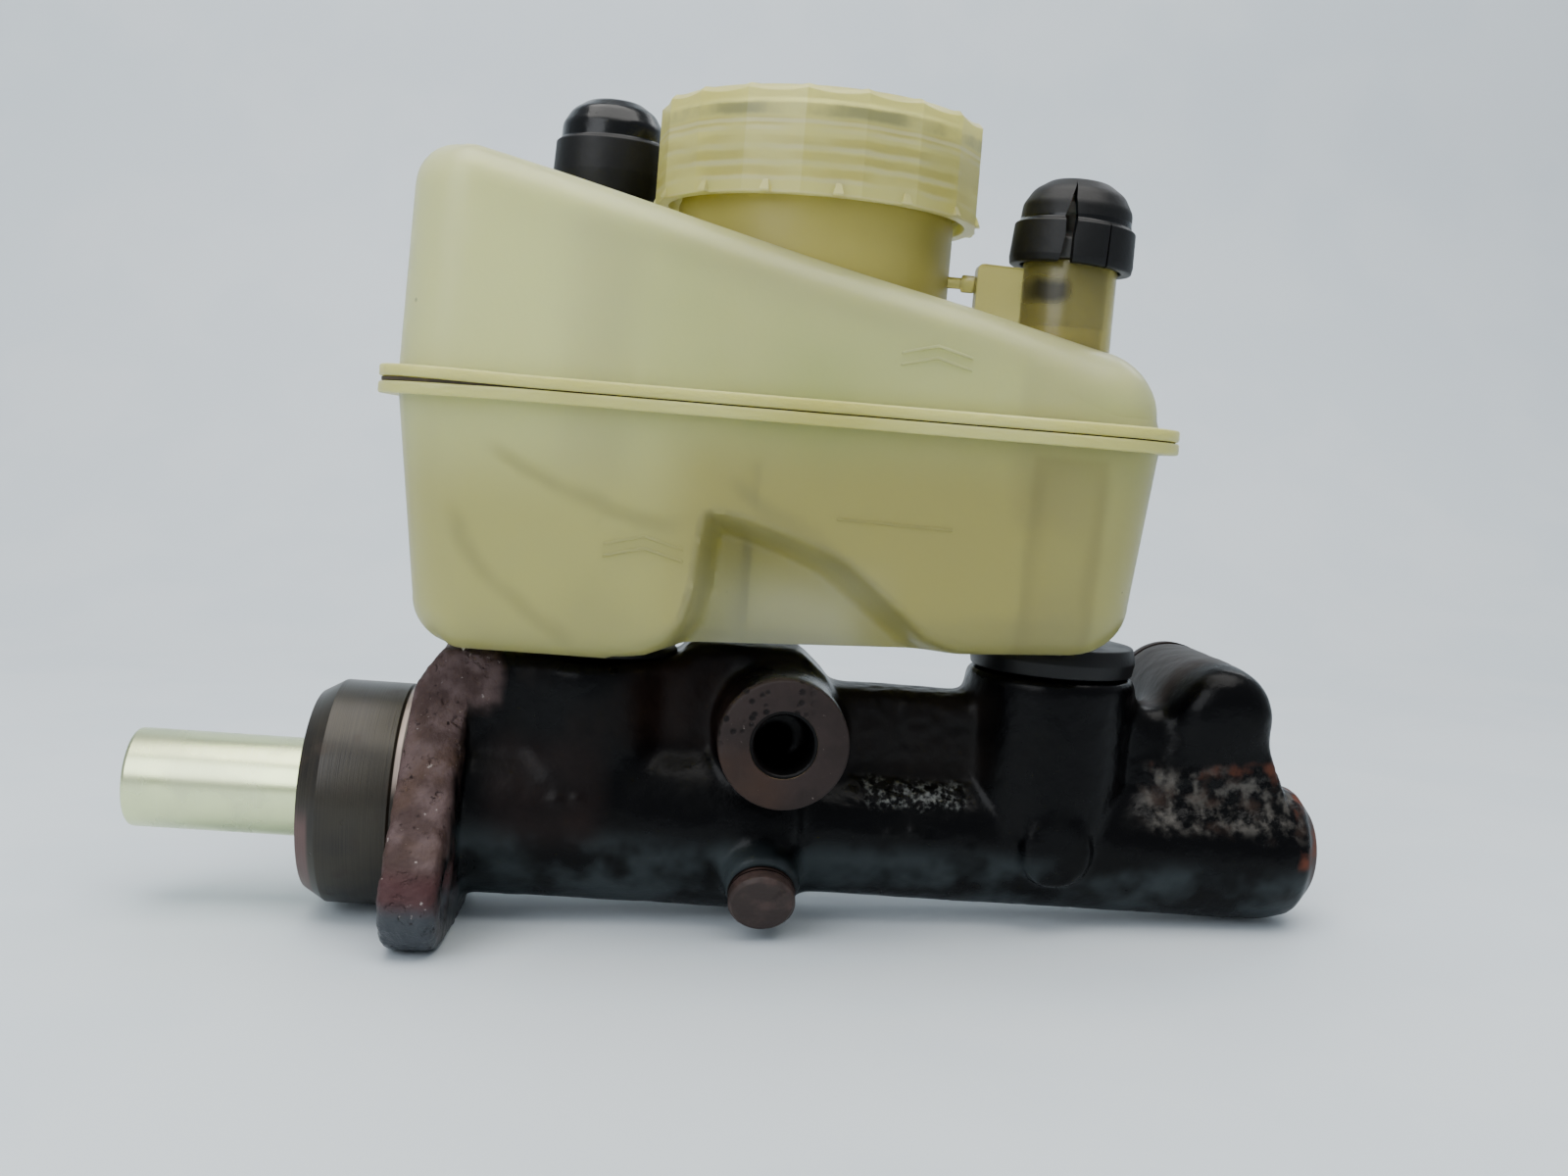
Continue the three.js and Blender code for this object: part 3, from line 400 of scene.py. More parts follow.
class Finish:
    """One procedural material: a Principled shader and short names for the nodes behind it."""

    def __init__(self, name, base, roughness, metallic=0.0, **sockets):
        self.material = bpy.data.materials.new(name)
        self.material.use_nodes = True
        self.nodes = self.material.node_tree.nodes
        self.links = self.material.node_tree.links
        self.shader = self.nodes["Principled BSDF"]
        self.shader.inputs["Metallic"].default_value = metallic
        for socket, value in sockets.items():
            self.shader.inputs[socket.replace("_", " ")].default_value = value
        self.place = self.nodes.new("ShaderNodeTexCoord").outputs["Object"]
        parts = self.node("ShaderNodeSeparateXYZ", [self.place]).outputs
        self.x, self.y, self.z = (self.maths("MULTIPLY", parts[i], 1 / MM) for i in range(3))
        self.base = base
        self.roughness = roughness
        self.height = None

    def node(self, kind, inputs=(), **settings):
        made = self.nodes.new(kind)
        for key, value in settings.items():
            setattr(made, key, value)
        for i, value in enumerate(inputs):
            self.put(made.inputs[i], value)
        return made

    def put(self, socket, value):
        if isinstance(value, bpy.types.NodeSocket):
            self.links.new(value, socket)
        elif value is not None:
            socket.default_value = value

    def maths(self, operation, a, b=0.0):
        return self.node("ShaderNodeMath", [a, b], operation=operation).outputs[0]

    def times(self, *values):
        result = values[0]
        for value in values[1:]:
            result = self.maths("MULTIPLY", result, value)
        return result

    def noise(self, size, detail=4.0, stretch=(1, 1, 1), shift=0.0):
        """Cloudy noise from 0 to 1 whose lumps are about size millimetres across."""
        inputs = [self.place, (shift, shift, shift), (0, 0, 0), stretch]
        mapped = self.node("ShaderNodeMapping", inputs)
        made = self.node("ShaderNodeTexNoise")
        self.put(made.inputs["Vector"], mapped.outputs[0])
        made.inputs["Scale"].default_value = 1 / (size * MM)
        made.inputs["Detail"].default_value = detail
        return made.outputs["Fac"]

    def specks(self, spacing, size, shift=0.0):
        """1 inside small round specks, 0 between them."""
        mapped = self.node("ShaderNodeMapping", [self.place, (shift, shift, shift)])
        made = self.node("ShaderNodeTexVoronoi")
        self.put(made.inputs["Vector"], mapped.outputs[0])
        made.inputs["Scale"].default_value = 1 / (spacing * MM)
        return self.between(made.outputs["Distance"], size / spacing, 0.5 * size / spacing)

    def between(self, value, low, high, start=0.0, end=1.0):
        made = self.node("ShaderNodeMapRange", interpolation_type="SMOOTHSTEP")
        for socket, number in zip(made.inputs, (value, low, high, start, end)):
            self.put(socket, number)
        return made.outputs[0]

    def stroke(self, line, width):
        """1 along a straight line seen from the side, given as the X and Z of its two ends."""
        (ax, az), (bx, bz) = line
        length = math.hypot(bx - ax, bz - az)
        ux, uz = (bx - ax) / length, (bz - az) / length
        dx, dz = self.maths("SUBTRACT", self.x, ax), self.maths("SUBTRACT", self.z, az)
        along = self.maths("ADD", self.times(dx, ux), self.times(dz, uz))
        off = self.maths("SUBTRACT", self.times(dx, uz), self.times(dz, ux))
        off = self.maths("ADD", off, self.times(self.maths("SUBTRACT", self.noise(15, 2), 0.5), 5))
        off = self.maths("ABSOLUTE", off)
        ends = self.times(self.between(along, -3, 4), self.between(along, length + 3, length - 4))
        return self.times(ends, self.between(off, width, 0))

    def zone(self, x=None, y=None, z=None, soft=2.0, ragged=0.0):
        """1 inside a box of the frame, fading to 0 over soft millimetres outside it."""
        parts = []
        wobble = None
        if ragged:
            wobble = self.times(self.maths("SUBTRACT", self.noise(6, 5), 0.5), ragged)
        for value, limits in ((self.x, x), (self.y, y), (self.z, z)):
            if limits is None:
                continue
            if wobble is not None:
                value = self.maths("ADD", value, wobble)
            low, high = limits
            if low is not None:
                parts.append(self.between(value, low - soft, low))
            if high is not None:
                parts.append(self.between(value, high + soft, high))
        return self.times(*parts)

    def paint(self, mask, base=None, roughness=None):
        """Lays a colour and a roughness over what is there, where the mask is 1."""
        if base is not None:
            made = self.node("ShaderNodeMix", data_type="RGBA")
            for i, value in ((0, mask), (6, self.base), (7, base)):
                self.put(made.inputs[i], value)
            self.base = made.outputs[2]
        if roughness is not None:
            made = self.node("ShaderNodeMix", [mask], data_type="FLOAT")
            for i, value in ((2, self.roughness), (3, roughness)):
                self.put(made.inputs[i], value)
            self.roughness = made.outputs[0]
        return self

    def patch(self, base, roughness=None, cloud=None, strength=None, **zone):
        """Paints a zone broken up by a cloud. The cloud is its noise's size, detail and shift,
        and the noise at which it starts and is full."""
        masks = [self.zone(**zone)] if zone else []
        if cloud:
            masks.append(self.cloud(*cloud))
        if strength is not None:
            masks.append(strength)
        return self.paint(self.times(*masks), colour(*base), roughness)

    def cloud(self, size, detail, shift, low, high):
        return self.between(self.noise(size, detail, shift=shift), low, high)

    def relief(self, height, depth, strength=1.0):
        """Adds a bump whose full height is depth millimetres."""
        made = self.node("ShaderNodeBump")
        made.inputs["Strength"].default_value = strength
        made.inputs["Distance"].default_value = depth * MM
        self.put(made.inputs["Height"], height)
        if self.height is not None:
            self.links.new(self.height, made.inputs["Normal"])
        self.height = made.outputs["Normal"]
        return self

    def done(self):
        self.put(self.shader.inputs["Base Color"], self.base)
        self.put(self.shader.inputs["Roughness"], self.roughness)
        if self.height is not None:
            self.links.new(self.height, self.shader.inputs["Normal"])
        return self.material


def painted_casting():
    """Black paint worn to rust on a sand casting, in the zones where each shows, with painted
    reflections, highlights and glints.
    """
    f = Finish("painted_casting", colour(3, 3, 4), 0.26, Specular_IOR_Level=0.11)
    f.patch((6, 6, 6), 0.36, (11, 5, 0, 0.45, 0.72))
    # painted reflection: bluish grey from the floor, on the lower surfaces
    f.patch((46, 52, 54), 0.34, (16, 3, 0.6, 0.42, 0.62), z=(None, -5), soft=6)
    worn = (15, 5, 0.3, 0.46, 0.66)
    f.patch((20, 15, 13), 0.5, worn, 0.8, x=(14, 84), z=(18, None), soft=9, ragged=6)
    web = f.zone(x=(44, 58), y=(None, -6), z=(20, 30), soft=7)
    f.paint(f.times(web, f.noise(9, 4, shift=0.7), 0.55), colour(42, 26, 19), 0.55)
    foot = f.zone(x=(20, 34), y=(None, -8), z=(0, 12), soft=7)
    f.paint(f.times(foot, f.noise(7, 5, shift=0.15)), colour(28, 18, 16), 0.5)
    spine = f.zone(x=(84, 110), z=(14, 28), soft=5)
    f.paint(f.times(spine, f.noise(8, 4, shift=0.1)), colour(24, 19, 16), 0.45)
    # painted highlight: a thin band of pale glossy flecks where light catches the upper front of the
    # barrel
    rib_highlight = f.zone(x=(89, 107), y=(None, -3), z=(7.8, 9.8), soft=2.2, ragged=4)
    f.paint(f.times(rib_highlight, f.cloud(1.1, 6, 0, 0.46, 0.72)), colour(106, 107, 104), 0.2)
    front = f.zone(x=(147, 177), z=(7.5, 15), y=(None, 4), soft=4, ragged=6)
    f.paint(f.times(front, f.cloud(3, 12, 0.5, 0.46, 0.7)), colour(74, 71, 67), 0.4)
    f.paint(f.times(front, f.cloud(5, 8, 0.9, 0.5, 0.7), 0.6), colour(50, 38, 32), 0.5)
    valley = {"x": (147, 176), "z": (16.4, 18.6), "y": (None, -5)}
    f.patch((70, 41, 31), 0.7, (6, 6, 0.2, 0.47, 0.66), soft=1.6, ragged=4, **valley)
    f.patch((58, 36, 30), 0.6, None, 0.75, x=(181.5, None), soft=2.4, ragged=4)
    rust = (5, 5, 0.35, 0.46, 0.66)
    f.patch((88, 48, 35), 0.6, rust, x=(177.5, 181.5), z=(0, 15), soft=1.6, ragged=4)
    f.patch((42, 36, 34), 0.45, x=(146, 174), y=(-1, None), z=(20, None), soft=4, ragged=2)
    flange = f.zone(x=(None, 10.4), soft=0.9, ragged=2.4)
    slope = f.zone(x=(None, 14), z=(23, None), soft=4, ragged=6)
    rim = f.maths("MAXIMUM", flange, slope)
    f.paint(rim, colour(62, 48, 46), 0.6)
    f.paint(f.times(rim, f.cloud(5, 8, 0.7, 0.42, 0.66)), colour(84, 69, 68), 0.5)
    rust = f.cloud(8, 5, 0.4, 0.46, 0.7)
    f.paint(f.times(rim, f.zone(z=(0, 15), soft=8), rust, 0.6), colour(72, 55, 46), 0.62)
    f.paint(f.times(rim, f.zone(z=(-14, -8), soft=4), 0.7), colour(66, 40, 42), 0.58)
    # painted reflection: bluish grey from the floor, on the flange's lower edge
    f.paint(f.times(flange, f.zone(z=(None, -14), soft=4)), colour(62, 65, 69), 0.3)
    f.paint(f.times(rim, f.cloud(1.7, 6, 0.25, 0.62, 0.74)), colour(30, 22, 22), 0.8)
    # painted glints: small pale glossy flecks on the rough flange
    f.paint(f.times(rim, f.cloud(1.3, 5, 0.55, 0.66, 0.76)), colour(150, 140, 136), 0.22)
    rough = f.maths("MAXIMUM", rim, f.maths("MAXIMUM", f.times(front, 0.8), f.times(rib_highlight, 0.9)))
    f.relief(f.times(f.noise(1.5, 6), rough), 0.5)
    f.relief(f.times(f.cloud(3.4, 4, 0.85, 0.58, 0.7), rim), -0.4)
    f.relief(f.noise(0.8, 5, shift=0.6), 0.04)
    f.relief(f.noise(7, 3), 0.25)
    return f.done()


def machined_iron():
    """Turned cast iron gone brown, with fine tool lines round the bore axis and a painted highlight
    on top of the shoulder.
    """
    f = Finish("machined_iron", colour(43, 39, 31), 0.36, 0.4)
    f.patch((33, 30, 26), 0.32, (13, 4, 0, 0.4, 0.65))
    f.patch((40, 32, 25), 0.46, (6, 6, 0.4, 0.55, 0.75))
    lines = f.noise(0.5, 2, stretch=(3.2, 0.02, 0.02))
    f.paint(f.between(lines, 0.35, 0.7, 0, 0.3), colour(64, 58, 47))
    # painted highlight: a pale band along the top of the shoulder by the flange
    shoulder_highlight = f.zone(x=(-1.0, -0.4), soft=0.3)
    f.paint(f.times(shoulder_highlight, f.zone(z=(8, None), soft=5)), colour(150, 134, 124), 0.3)
    rear_edge = f.zone(x=(None, -16.8), soft=0.8)
    f.paint(f.times(rear_edge, f.zone(z=(None, -4), soft=6)), colour(88, 66, 63), 0.4)
    f.relief(lines, 0.03)
    f.relief(f.specks(7, 0.5), -0.06)
    return f.done()


def port_face():
    """The spot-faced end of an outlet boss: matt, pitted at its upper rear, rusty below."""
    f = Finish("port_face", colour(40, 31, 29), 0.58, Specular_IOR_Level=0.2)
    f.patch((34, 26, 24), 0.62, (6, 6, 0, 0.42, 0.66))
    low = f.zone(z=(None, 15), x=(None, 68), soft=7)
    f.paint(f.times(low, f.noise(5, 5, shift=0.2), 0.7), colour(62, 42, 31), 0.6)
    pits = f.times(f.zone(z=(23, None), x=(None, 72), soft=5), f.specks(1.9, 0.8, shift=0.3))
    f.paint(pits, colour(18, 15, 15), 0.9)
    f.patch((112, 102, 98), 0.25, (1.1, 3, 0.7, 0.7, 0.78))
    f.relief(pits, -0.35)
    f.relief(f.noise(1.2, 6), 0.12)
    return f.done()


def bright_thread():
    """Cut thread, dark inside, with a gold-brown mouth chamfer."""
    f = Finish("bright_thread", colour(112, 96, 68), 0.34, 0.8)
    f.patch((70, 58, 44), 0.45, (2.5, 4, 0, 0.4, 0.62))
    f.relief(f.noise(0.6, 3), 0.03)
    return f.done()


def rusty_screw():
    f = Finish("rusty_screw", colour(50, 40, 37), 0.5, Specular_IOR_Level=0.25)
    f.patch((68, 53, 49), 0.44, (4, 6, 0, 0.45, 0.7))
    f.patch((38, 29, 27), 0.65, (5, 4, 0.5, 0.58, 0.72))
    f.relief(f.noise(1.1, 6), 0.12)
    return f.done()


def anodised_rod():
    """Gold-green anodised aluminium with fine turning marks."""
    f = Finish("anodised_rod", colour(221, 231, 178), 0.24, 1.0)
    f.patch((208, 216, 172), 0.3, (9, 3, 0, 0.35, 0.7))
    lines = f.noise(0.4, 2, stretch=(3.0, 0.03, 0.03))
    f.paint(f.between(lines, 0.55, 0.75, 0, 0.25), colour(232, 238, 206))
    f.relief(lines, 0.012)
    f.relief(f.noise(0.3, 2, stretch=(0.08, 1, 1)), 0.004)
    return f.done()


def aged_plastic(name, base, deep, glow, clear, roughness=0.4):
    """Cloudy moulded plastic that lets light through, yellowed unevenly."""
    f = Finish(
        name, base, roughness, Subsurface_Weight=glow, Subsurface_Radius=(1.0, 0.95, 0.55),
        Subsurface_Scale=4 * MM, Transmission_Weight=clear, IOR=1.4, Specular_IOR_Level=0.35,
    )
    f.paint(f.between(f.noise(42, 3), 0.36, 0.66), deep, roughness + 0.05)
    f.relief(f.noise(18, 3), 0.3)
    f.relief(f.noise(0.9, 5, shift=0.5), 0.02)
    return f


def tank_plastic():
    """The reservoir: paler at the upper rear, yellower low and forward, with faint shadows."""
    f = aged_plastic("tank_plastic", colour(226, 227, 170), colour(214, 219, 158), 0.5, 0.66, 0.3)
    f.paint(f.between(f.z, SEAM_Z + 4, SEAM_Z - 22, 0, 0.85), colour(210, 206, 138), 0.34)
    below = f.zone(z=(None, SEAM_Z), soft=6)
    f.paint(f.times(f.between(f.x, 40, 120, 0, 0.5), below), colour(198, 194, 128))
    f.patch((251, 252, 196), None, None, 0.7, x=(None, 26), z=(SEAM_Z + 6, None), soft=30)
    f.patch((188, 178, 104), None, None, 0.5, x=(54, 108), z=(46, 68), soft=13)
    f.patch((232, 232, 204), None, None, 0.7, x=(60, 78), z=(36, 44), y=(None, -8), soft=13)
    for line in SHADOW_LINES:
        f.paint(f.times(f.stroke(line, 2.6), 0.42), colour(166, 162, 112))
    f.patch((176, 168, 108), None, None, 0.4, x=(112, 124), z=(40, 76), y=(None, 0), soft=1.6)
    f.paint(f.times(f.specks(14, 0.8), f.cloud(34, 2, 0.3, 0.44, 0.5)), colour(66, 74, 62))
    fine = f.specks(8, 0.3, shift=0.4)
    f.paint(f.times(fine, f.cloud(26, 2, 0.8, 0.5, 0.56)), colour(96, 84, 52))
    return f.done()


def lip_plastic():
    f = aged_plastic("lip_plastic", colour(234, 230, 146), colour(218, 212, 122), 0.6, 0.42, 0.34)
    f.relief(f.noise(2.4, 4, stretch=(1, 1, 3)), 0.22)
    return f.done()


def neck_plastic():
    return aged_plastic("neck_plastic", colour(198, 188, 104), colour(182, 172, 88), 0.5, 0.4).done()


def tower_plastic():
    """Clear enough to show the dark contact insert inside the front tower."""
    f = aged_plastic("tower_plastic", colour(206, 196, 124), colour(186, 174, 98), 0.4, 0.8, 0.22)
    f.patch((38, 34, 24), 0.4, None, 0.85, x=(111.5, 115.5), z=(106.8, 108.4), soft=2.2, ragged=3)
    return f.done()


def cap_plastic():
    """Yellow and clear, with painted light and dark lines where the thread inside shows through, a
    grey shadow of the seal near the top and a painted highlight on the bottom rim.
    """
    f = aged_plastic("cap_plastic", colour(250, 245, 164), colour(238, 231, 136), 0.42, 0.66, 0.34)
    for height in (121.9, 124.6, 127.4, 130.6):
        broken = (16, 2, height, 0.36, 0.6)
        # painted highlight and shade: a pale line at each ridge of the thread inside and a darker
        # line just above it
        ridge_highlight, groove_shade = (height, height + 0.3), (height + 1, height + 1.8)
        f.patch((252, 248, 204), None, broken, 0.6, z=ridge_highlight, soft=0.5, ragged=0.6)
        f.patch((214, 204, 106), None, broken, 0.6, z=groove_shade, soft=0.7, ragged=1)
    seal = (CAP_TOP - 5.2, CAP_TOP - 4.0)
    f.patch((128, 134, 112), None, (13, 4, 0.2, 0.3, 0.56), 0.6, z=seal, soft=1.1, ragged=1.4)
    line = (CAP_TOP - 6.9, CAP_TOP - 6.6)
    f.patch((252, 248, 208), None, None, 0.7, z=line, soft=0.4, ragged=0.5)
    # painted highlight along the bottom rim
    f.patch((255, 250, 200), None, None, 0.45, z=(None, CAP_BOTTOM + 0.3), soft=0.3)
    f.relief(f.noise(1.2, 4, stretch=(1, 1, 0.2)), 0.04)
    return f.done()


def rubber(name="rubber", gloss=0.42, base=(6, 6, 7)):
    """Black moulded rubber with a faint grey bloom."""
    f = Finish(name, colour(*base), gloss, Specular_IOR_Level=0.27)
    f.patch([c + 4 for c in base], gloss + 0.1, (6, 5, 0, 0.45, 0.7))
    f.patch([c + 12 for c in base], gloss + 0.2, (1.6, 4, 0.4, 0.66, 0.78))
    f.relief(f.noise(0.5, 3), 0.02)
    return f


def boot_rubber():
    """Glossier rubber, with dust low on the skirt."""
    f = rubber("boot_rubber", 0.2, (5, 6, 7))
    for _, _, top, _ in TOWERS.values():
        f.patch((7, 7, 7), 0.55, None, 0.8, z=(top - 5, top + 7), soft=0.4)
    f.relief(f.noise(4, 2), 0.12)
    return f.done()


def steel(name, base, roughness, along=(3, 0.05, 0.05)):
    f = Finish(name, colour(*base), roughness, 1.0)
    f.patch([c * 0.82 for c in base], roughness + 0.1, (3, 4, 0, 0.4, 0.65))
    f.relief(f.noise(0.4, 3, stretch=along), 0.015)
    return f.done()


def moulded(name, base, roughness=0.45):
    f = Finish(name, colour(*base), roughness, Subsurface_Weight=0.15, Subsurface_Scale=1.5 * MM)
    f.patch([c * 0.88 for c in base], roughness + 0.08, (5, 4, 0, 0.4, 0.65))
    f.relief(f.noise(0.8, 4), 0.03)
    return f.done()


def studio_floor():
    f = Finish("studio_floor", colour(205, 213, 218), 0.55)
    f.patch((201, 210, 216), None, (60, 3, 0, 0.4, 0.6))
    f.relief(f.noise(1.5, 3), 0.02)
    return f.done()


CASTING = painted_casting()
MACHINED = machined_iron()
PORT = port_face()
THREAD = bright_thread()
SCREW = rusty_screw()
GOLD = anodised_rod()
TANK = tank_plastic()
LIP = lip_plastic()
NECK = neck_plastic()
CAP = cap_plastic()
TOWER = tower_plastic()
RUBBER = rubber().done()
BOOT = boot_rubber()
STEEL = steel("plain_steel", (168, 168, 164), 0.3)
SPRING = steel("spring_steel", (96, 97, 102), 0.34)
# dark copper; its darkness is partly painted shade, for the shaded ring round the stop screw's head
COPPER = steel("copper_washer", (46, 36, 33), 0.5, (1, 1, 1))
BRASS = steel("contact_brass", (196, 166, 96), 0.28, (1, 1, 1))
GUIDE = moulded("guide_plastic", (206, 202, 184))
INSERT = moulded("insert_plastic", (52, 50, 46))
FLOAT = moulded("float_plastic", (226, 221, 202), 0.55)
CAGE = moulded("cage_plastic", (206, 202, 176))
# painted shade: a dark brown strip set into the weld's gap between the rims
SEAM_SHADE = moulded("seam_gap_shade", (52, 42, 26), 0.8)


# ---- cast body ------------------------------------------------------------------------------


def body_without_spigot():
    """A copy of the cylinder body, cut off at the flange's rear face and made even."""
    bm = bmesh.new()
    bm.from_mesh(frame["nodes"]["cylinder_body"].data)
    bmesh.ops.remove_doubles(bm, verts=bm.verts, dist=1e-6)
    everything = bm.verts[:] + bm.edges[:] + bm.faces[:]
    made = bmesh.ops.bisect_plane(
        bm, geom=everything, plane_co=(0.03 * MM, 0, 0), plane_no=(1, 0, 0), clear_inner=True
    )
    rim = [g for g in made["geom_cut"] if isinstance(g, bmesh.types.BMEdge)]
    bmesh.ops.triangle_fill(bm, use_beauty=True, edges=rim)
    bmesh.ops.recalc_face_normals(bm, faces=bm.faces)
    mesh = bpy.data.meshes.new("cast_body")
    bm.to_mesh(mesh)
    bm.free()
    mesh.materials.clear()
    mesh.materials.append(CASTING)
    thing = bpy.data.objects.new("cast_body", mesh)
    bpy.context.scene.collection.objects.link(thing)
    voxel = thing.modifiers.new("voxel", "REMESH")
    voxel.mode = "VOXEL"
    voxel.voxel_size = 0.65 * MM
    return baked(thing)


def read(data, key, width, kind=float):
    """One value of each vertex or edge of a mesh, as the rows of an array."""
    values = np.empty(len(data) * width, kind)
    data.foreach_get(key, values)
    return values.reshape(-1, width)


def softened(points, edges, weight, rounds):
    """Moves each point towards its neighbours' mean, by its own weight."""
    count = np.bincount(edges.ravel(), minlength=len(points))[:, None]
    for _ in range(rounds):
        total = np.empty_like(points)
        for axis in range(3):
            total[:, axis] = np.bincount(edges[:, 0], points[edges[:, 1], axis], len(points))
            total[:, axis] += np.bincount(edges[:, 1], points[edges[:, 0], axis], len(points))
        points += (total / np.maximum(count, 1) - points) * weight[:, None]
    return points


def cast_body():
    """Sand-cast iron: soft edges and junctions, a rough skin, and crisp drilled holes."""
    thing = body_without_spigot()
    mesh = thing.data
    points = read(mesh.vertices, "co", 3) / MM
    edges = read(mesh.edges, "vertices", 2, int)
    x, y, z = points.T
    from_bore = np.hypot(y, z)
    bore = from_bore < np.where(x < 1.5, GUIDE_BORE_R, 12.3) + 0.7
    rear_hole = np.hypot(x - REAR_PORT["x"], z - REAR_PORT["z"]) < 7
    front_hole = np.hypot(x - FRONT_PORT["x"], z - FRONT_PORT["z"]) < 7
    drilled = (rear_hole & (y < -14)) | (front_hole & (y > 14)) | bore
    for side in (1, -1):
        drilled |= np.hypot(y - side * EAR[0], z - side * EAR[1]) < BOLT_HOLE_R + 1
    for inlet in INLETS:
        drilled |= (np.hypot(x - inlet, y) < 11) & (z > 20)
    weight = np.where(drilled, 0.12, 0.5)
    points = softened(points, edges, weight, 30)
    web = smoothstep(12, 18, x) * smoothstep(64, 58, x) * (y < -5) * ~drilled
    end = smoothstep(140, 146, x) * (z > 14) * ~drilled
    points = softened(points, edges, 0.5 * np.maximum(web, end), 40)
    mesh.vertices.foreach_set("co", (points * MM).ravel())
    mesh.update()
    normals = read(mesh.vertices, "normal", 3)
    x, y, z = points.T
    rough = np.maximum.reduce([
        smoothstep(13, 9, x),
        smoothstep(19, 14, x) * smoothstep(18, 24, z),
        smoothstep(84, 89, x) * smoothstep(112, 106, x) * smoothstep(0, 6, z) * smoothstep(4, -4, y),
        smoothstep(140, 146, x) * smoothstep(2, 7, z) * smoothstep(22, 17, z) * smoothstep(4, -4, y),
    ])
    skin = np.array([noise.fractal(Vector(p) * 0.42, 0.9, 2.1, 4) for p in points])
    lumps = np.array([noise.noise(Vector(p) * 0.13) for p in points])
    grow = 0.1 + skin * (0.05 + 0.2 * rough) + lumps * (0.16 + 0.12 * rough)
    for at_x, at_z, size in PIPS:
        grow += 0.55 * (y < -8) * np.exp(-((x - at_x) ** 2 + (z - at_z) ** 2) / size**2)
    grow = np.where(drilled, 0, grow)
    points = points + normals * grow[:, None]
    low, high = span("cylinder_body")
    points = np.clip(points, [0.02, low.y, low.z], [high.x, high.y, high.z])
    for port in (REAR_PORT, FRONT_PORT):
        side = math.copysign(1, port["face"])
        faced = np.hypot(points[:, 0] - port["x"], points[:, 2] - port["z"]) < port["r"] + 0.6
        sunk = np.minimum(points[:, 1] * side, abs(port["face"]) - 0.45)
        points[:, 1] = np.where(faced & (points[:, 1] * side > 20), sunk * side, points[:, 1])
    mesh.vertices.foreach_set("co", (points * MM).ravel())
    mesh.shade_smooth()
    mesh.update()
    return fixed(thing, "cylinder_body")


def spigot():
    groove_rear, groove_front = CIRCLIP_X
    shape = lathe([
        (SPIGOT_REAR, GUIDE_BORE_R + 0.5, 0.1),
        (SPIGOT_REAR, SPIGOT_R - 2.5, 0.35),
        (SPIGOT_REAR + 4.2, SPIGOT_R, 0.5),
        (-1.7, SPIGOT_R, 0.2),
        (-1.3, SPIGOT_R - 0.45, 0.2),
        (-0.3, SPIGOT_R - 0.45, 0.3),
        (0.4, SPIGOT_R - 0.3, 0.1),
        (0.4, GUIDE_BORE_R, 0.1),
        (groove_front, GUIDE_BORE_R, 0.1),
        (groove_front, CIRCLIP_GROOVE_R, 0.15),
        (groove_rear, CIRCLIP_GROOVE_R, 0.15),
        (groove_rear, GUIDE_BORE_R, 0.1),
        (SPIGOT_REAR + 0.6, GUIDE_BORE_R, 0.1),
    ], segments=144)
    return fixed(mesh_object("spigot", shape, MACHINED))


def outlet(name, port, step):
    """The machined face of an outlet, and inside it the chamfered mouth with its thread."""
    face, inward = port["face"], -math.copysign(1, port["face"])
    at = (port["x"], 0, port["z"])

    def depth(value):
        return face + inward * value

    disc = lathe([
        (depth(0), 6.35, 0.1), (depth(0), port["r"] - step, 0.5),
        (depth(3), port["r"] - step + 0.1, 0.1), (depth(3), 6.35, 0.1),
    ], "y", at, 96)
    fixed(mesh_object(f"{name}_face", disc, PORT))
    mouth = lathe([
        (depth(0.05), 6.75, 0.1), (depth(0.75), 6.0, 0.1), (depth(PORT_DEPTH - 0.4), 6.0, 0.1),
        (depth(PORT_DEPTH - 0.4), 7.4, 0.1), (depth(0.3), 7.4, 0.1), (depth(0.05), 7.1, 0.05),
    ], "y", at, 72)
    thread = helix(
        "y", at, 6.1, depth(3.2), depth(PORT_DEPTH - 1.2), 9,
        [(0, -0.46), (-0.5, -0.08), (-0.5, 0.08), (0, 0.46)], taper=0.12,
    )
    fixed(mesh_object(f"{name}_thread", merged(mouth, thread), THREAD))


def on_stop_axis(shape):
    return moved(shape, Matrix.Translation((STOP_X, 0, 0)) @ Matrix.Rotation(STOP_TURN, 4, "X"))


def stop_screw():
    screw = lathe([
        (7.9, 0), (7.9, 2.8, 0.5), (13.6, 2.8), (13.6, 3.6), (24, 3.6), (24, 6.4, 0.3),
        (26.2, 6.4, 0.5), (26.95, 5.7, 0.4), (26.95, 0),
    ], "z", segments=64)
    fixed(mesh_object("stop_screw_body", on_stop_axis(screw), SCREW), "stop_screw")
    washer = lathe(band(22.8, 23.8, 3.9, 6.5, 0.4), "z", segments=64)
    fixed(mesh_object("stop_screw_seal", on_stop_axis(washer), COPPER), "stop_screw_washer")


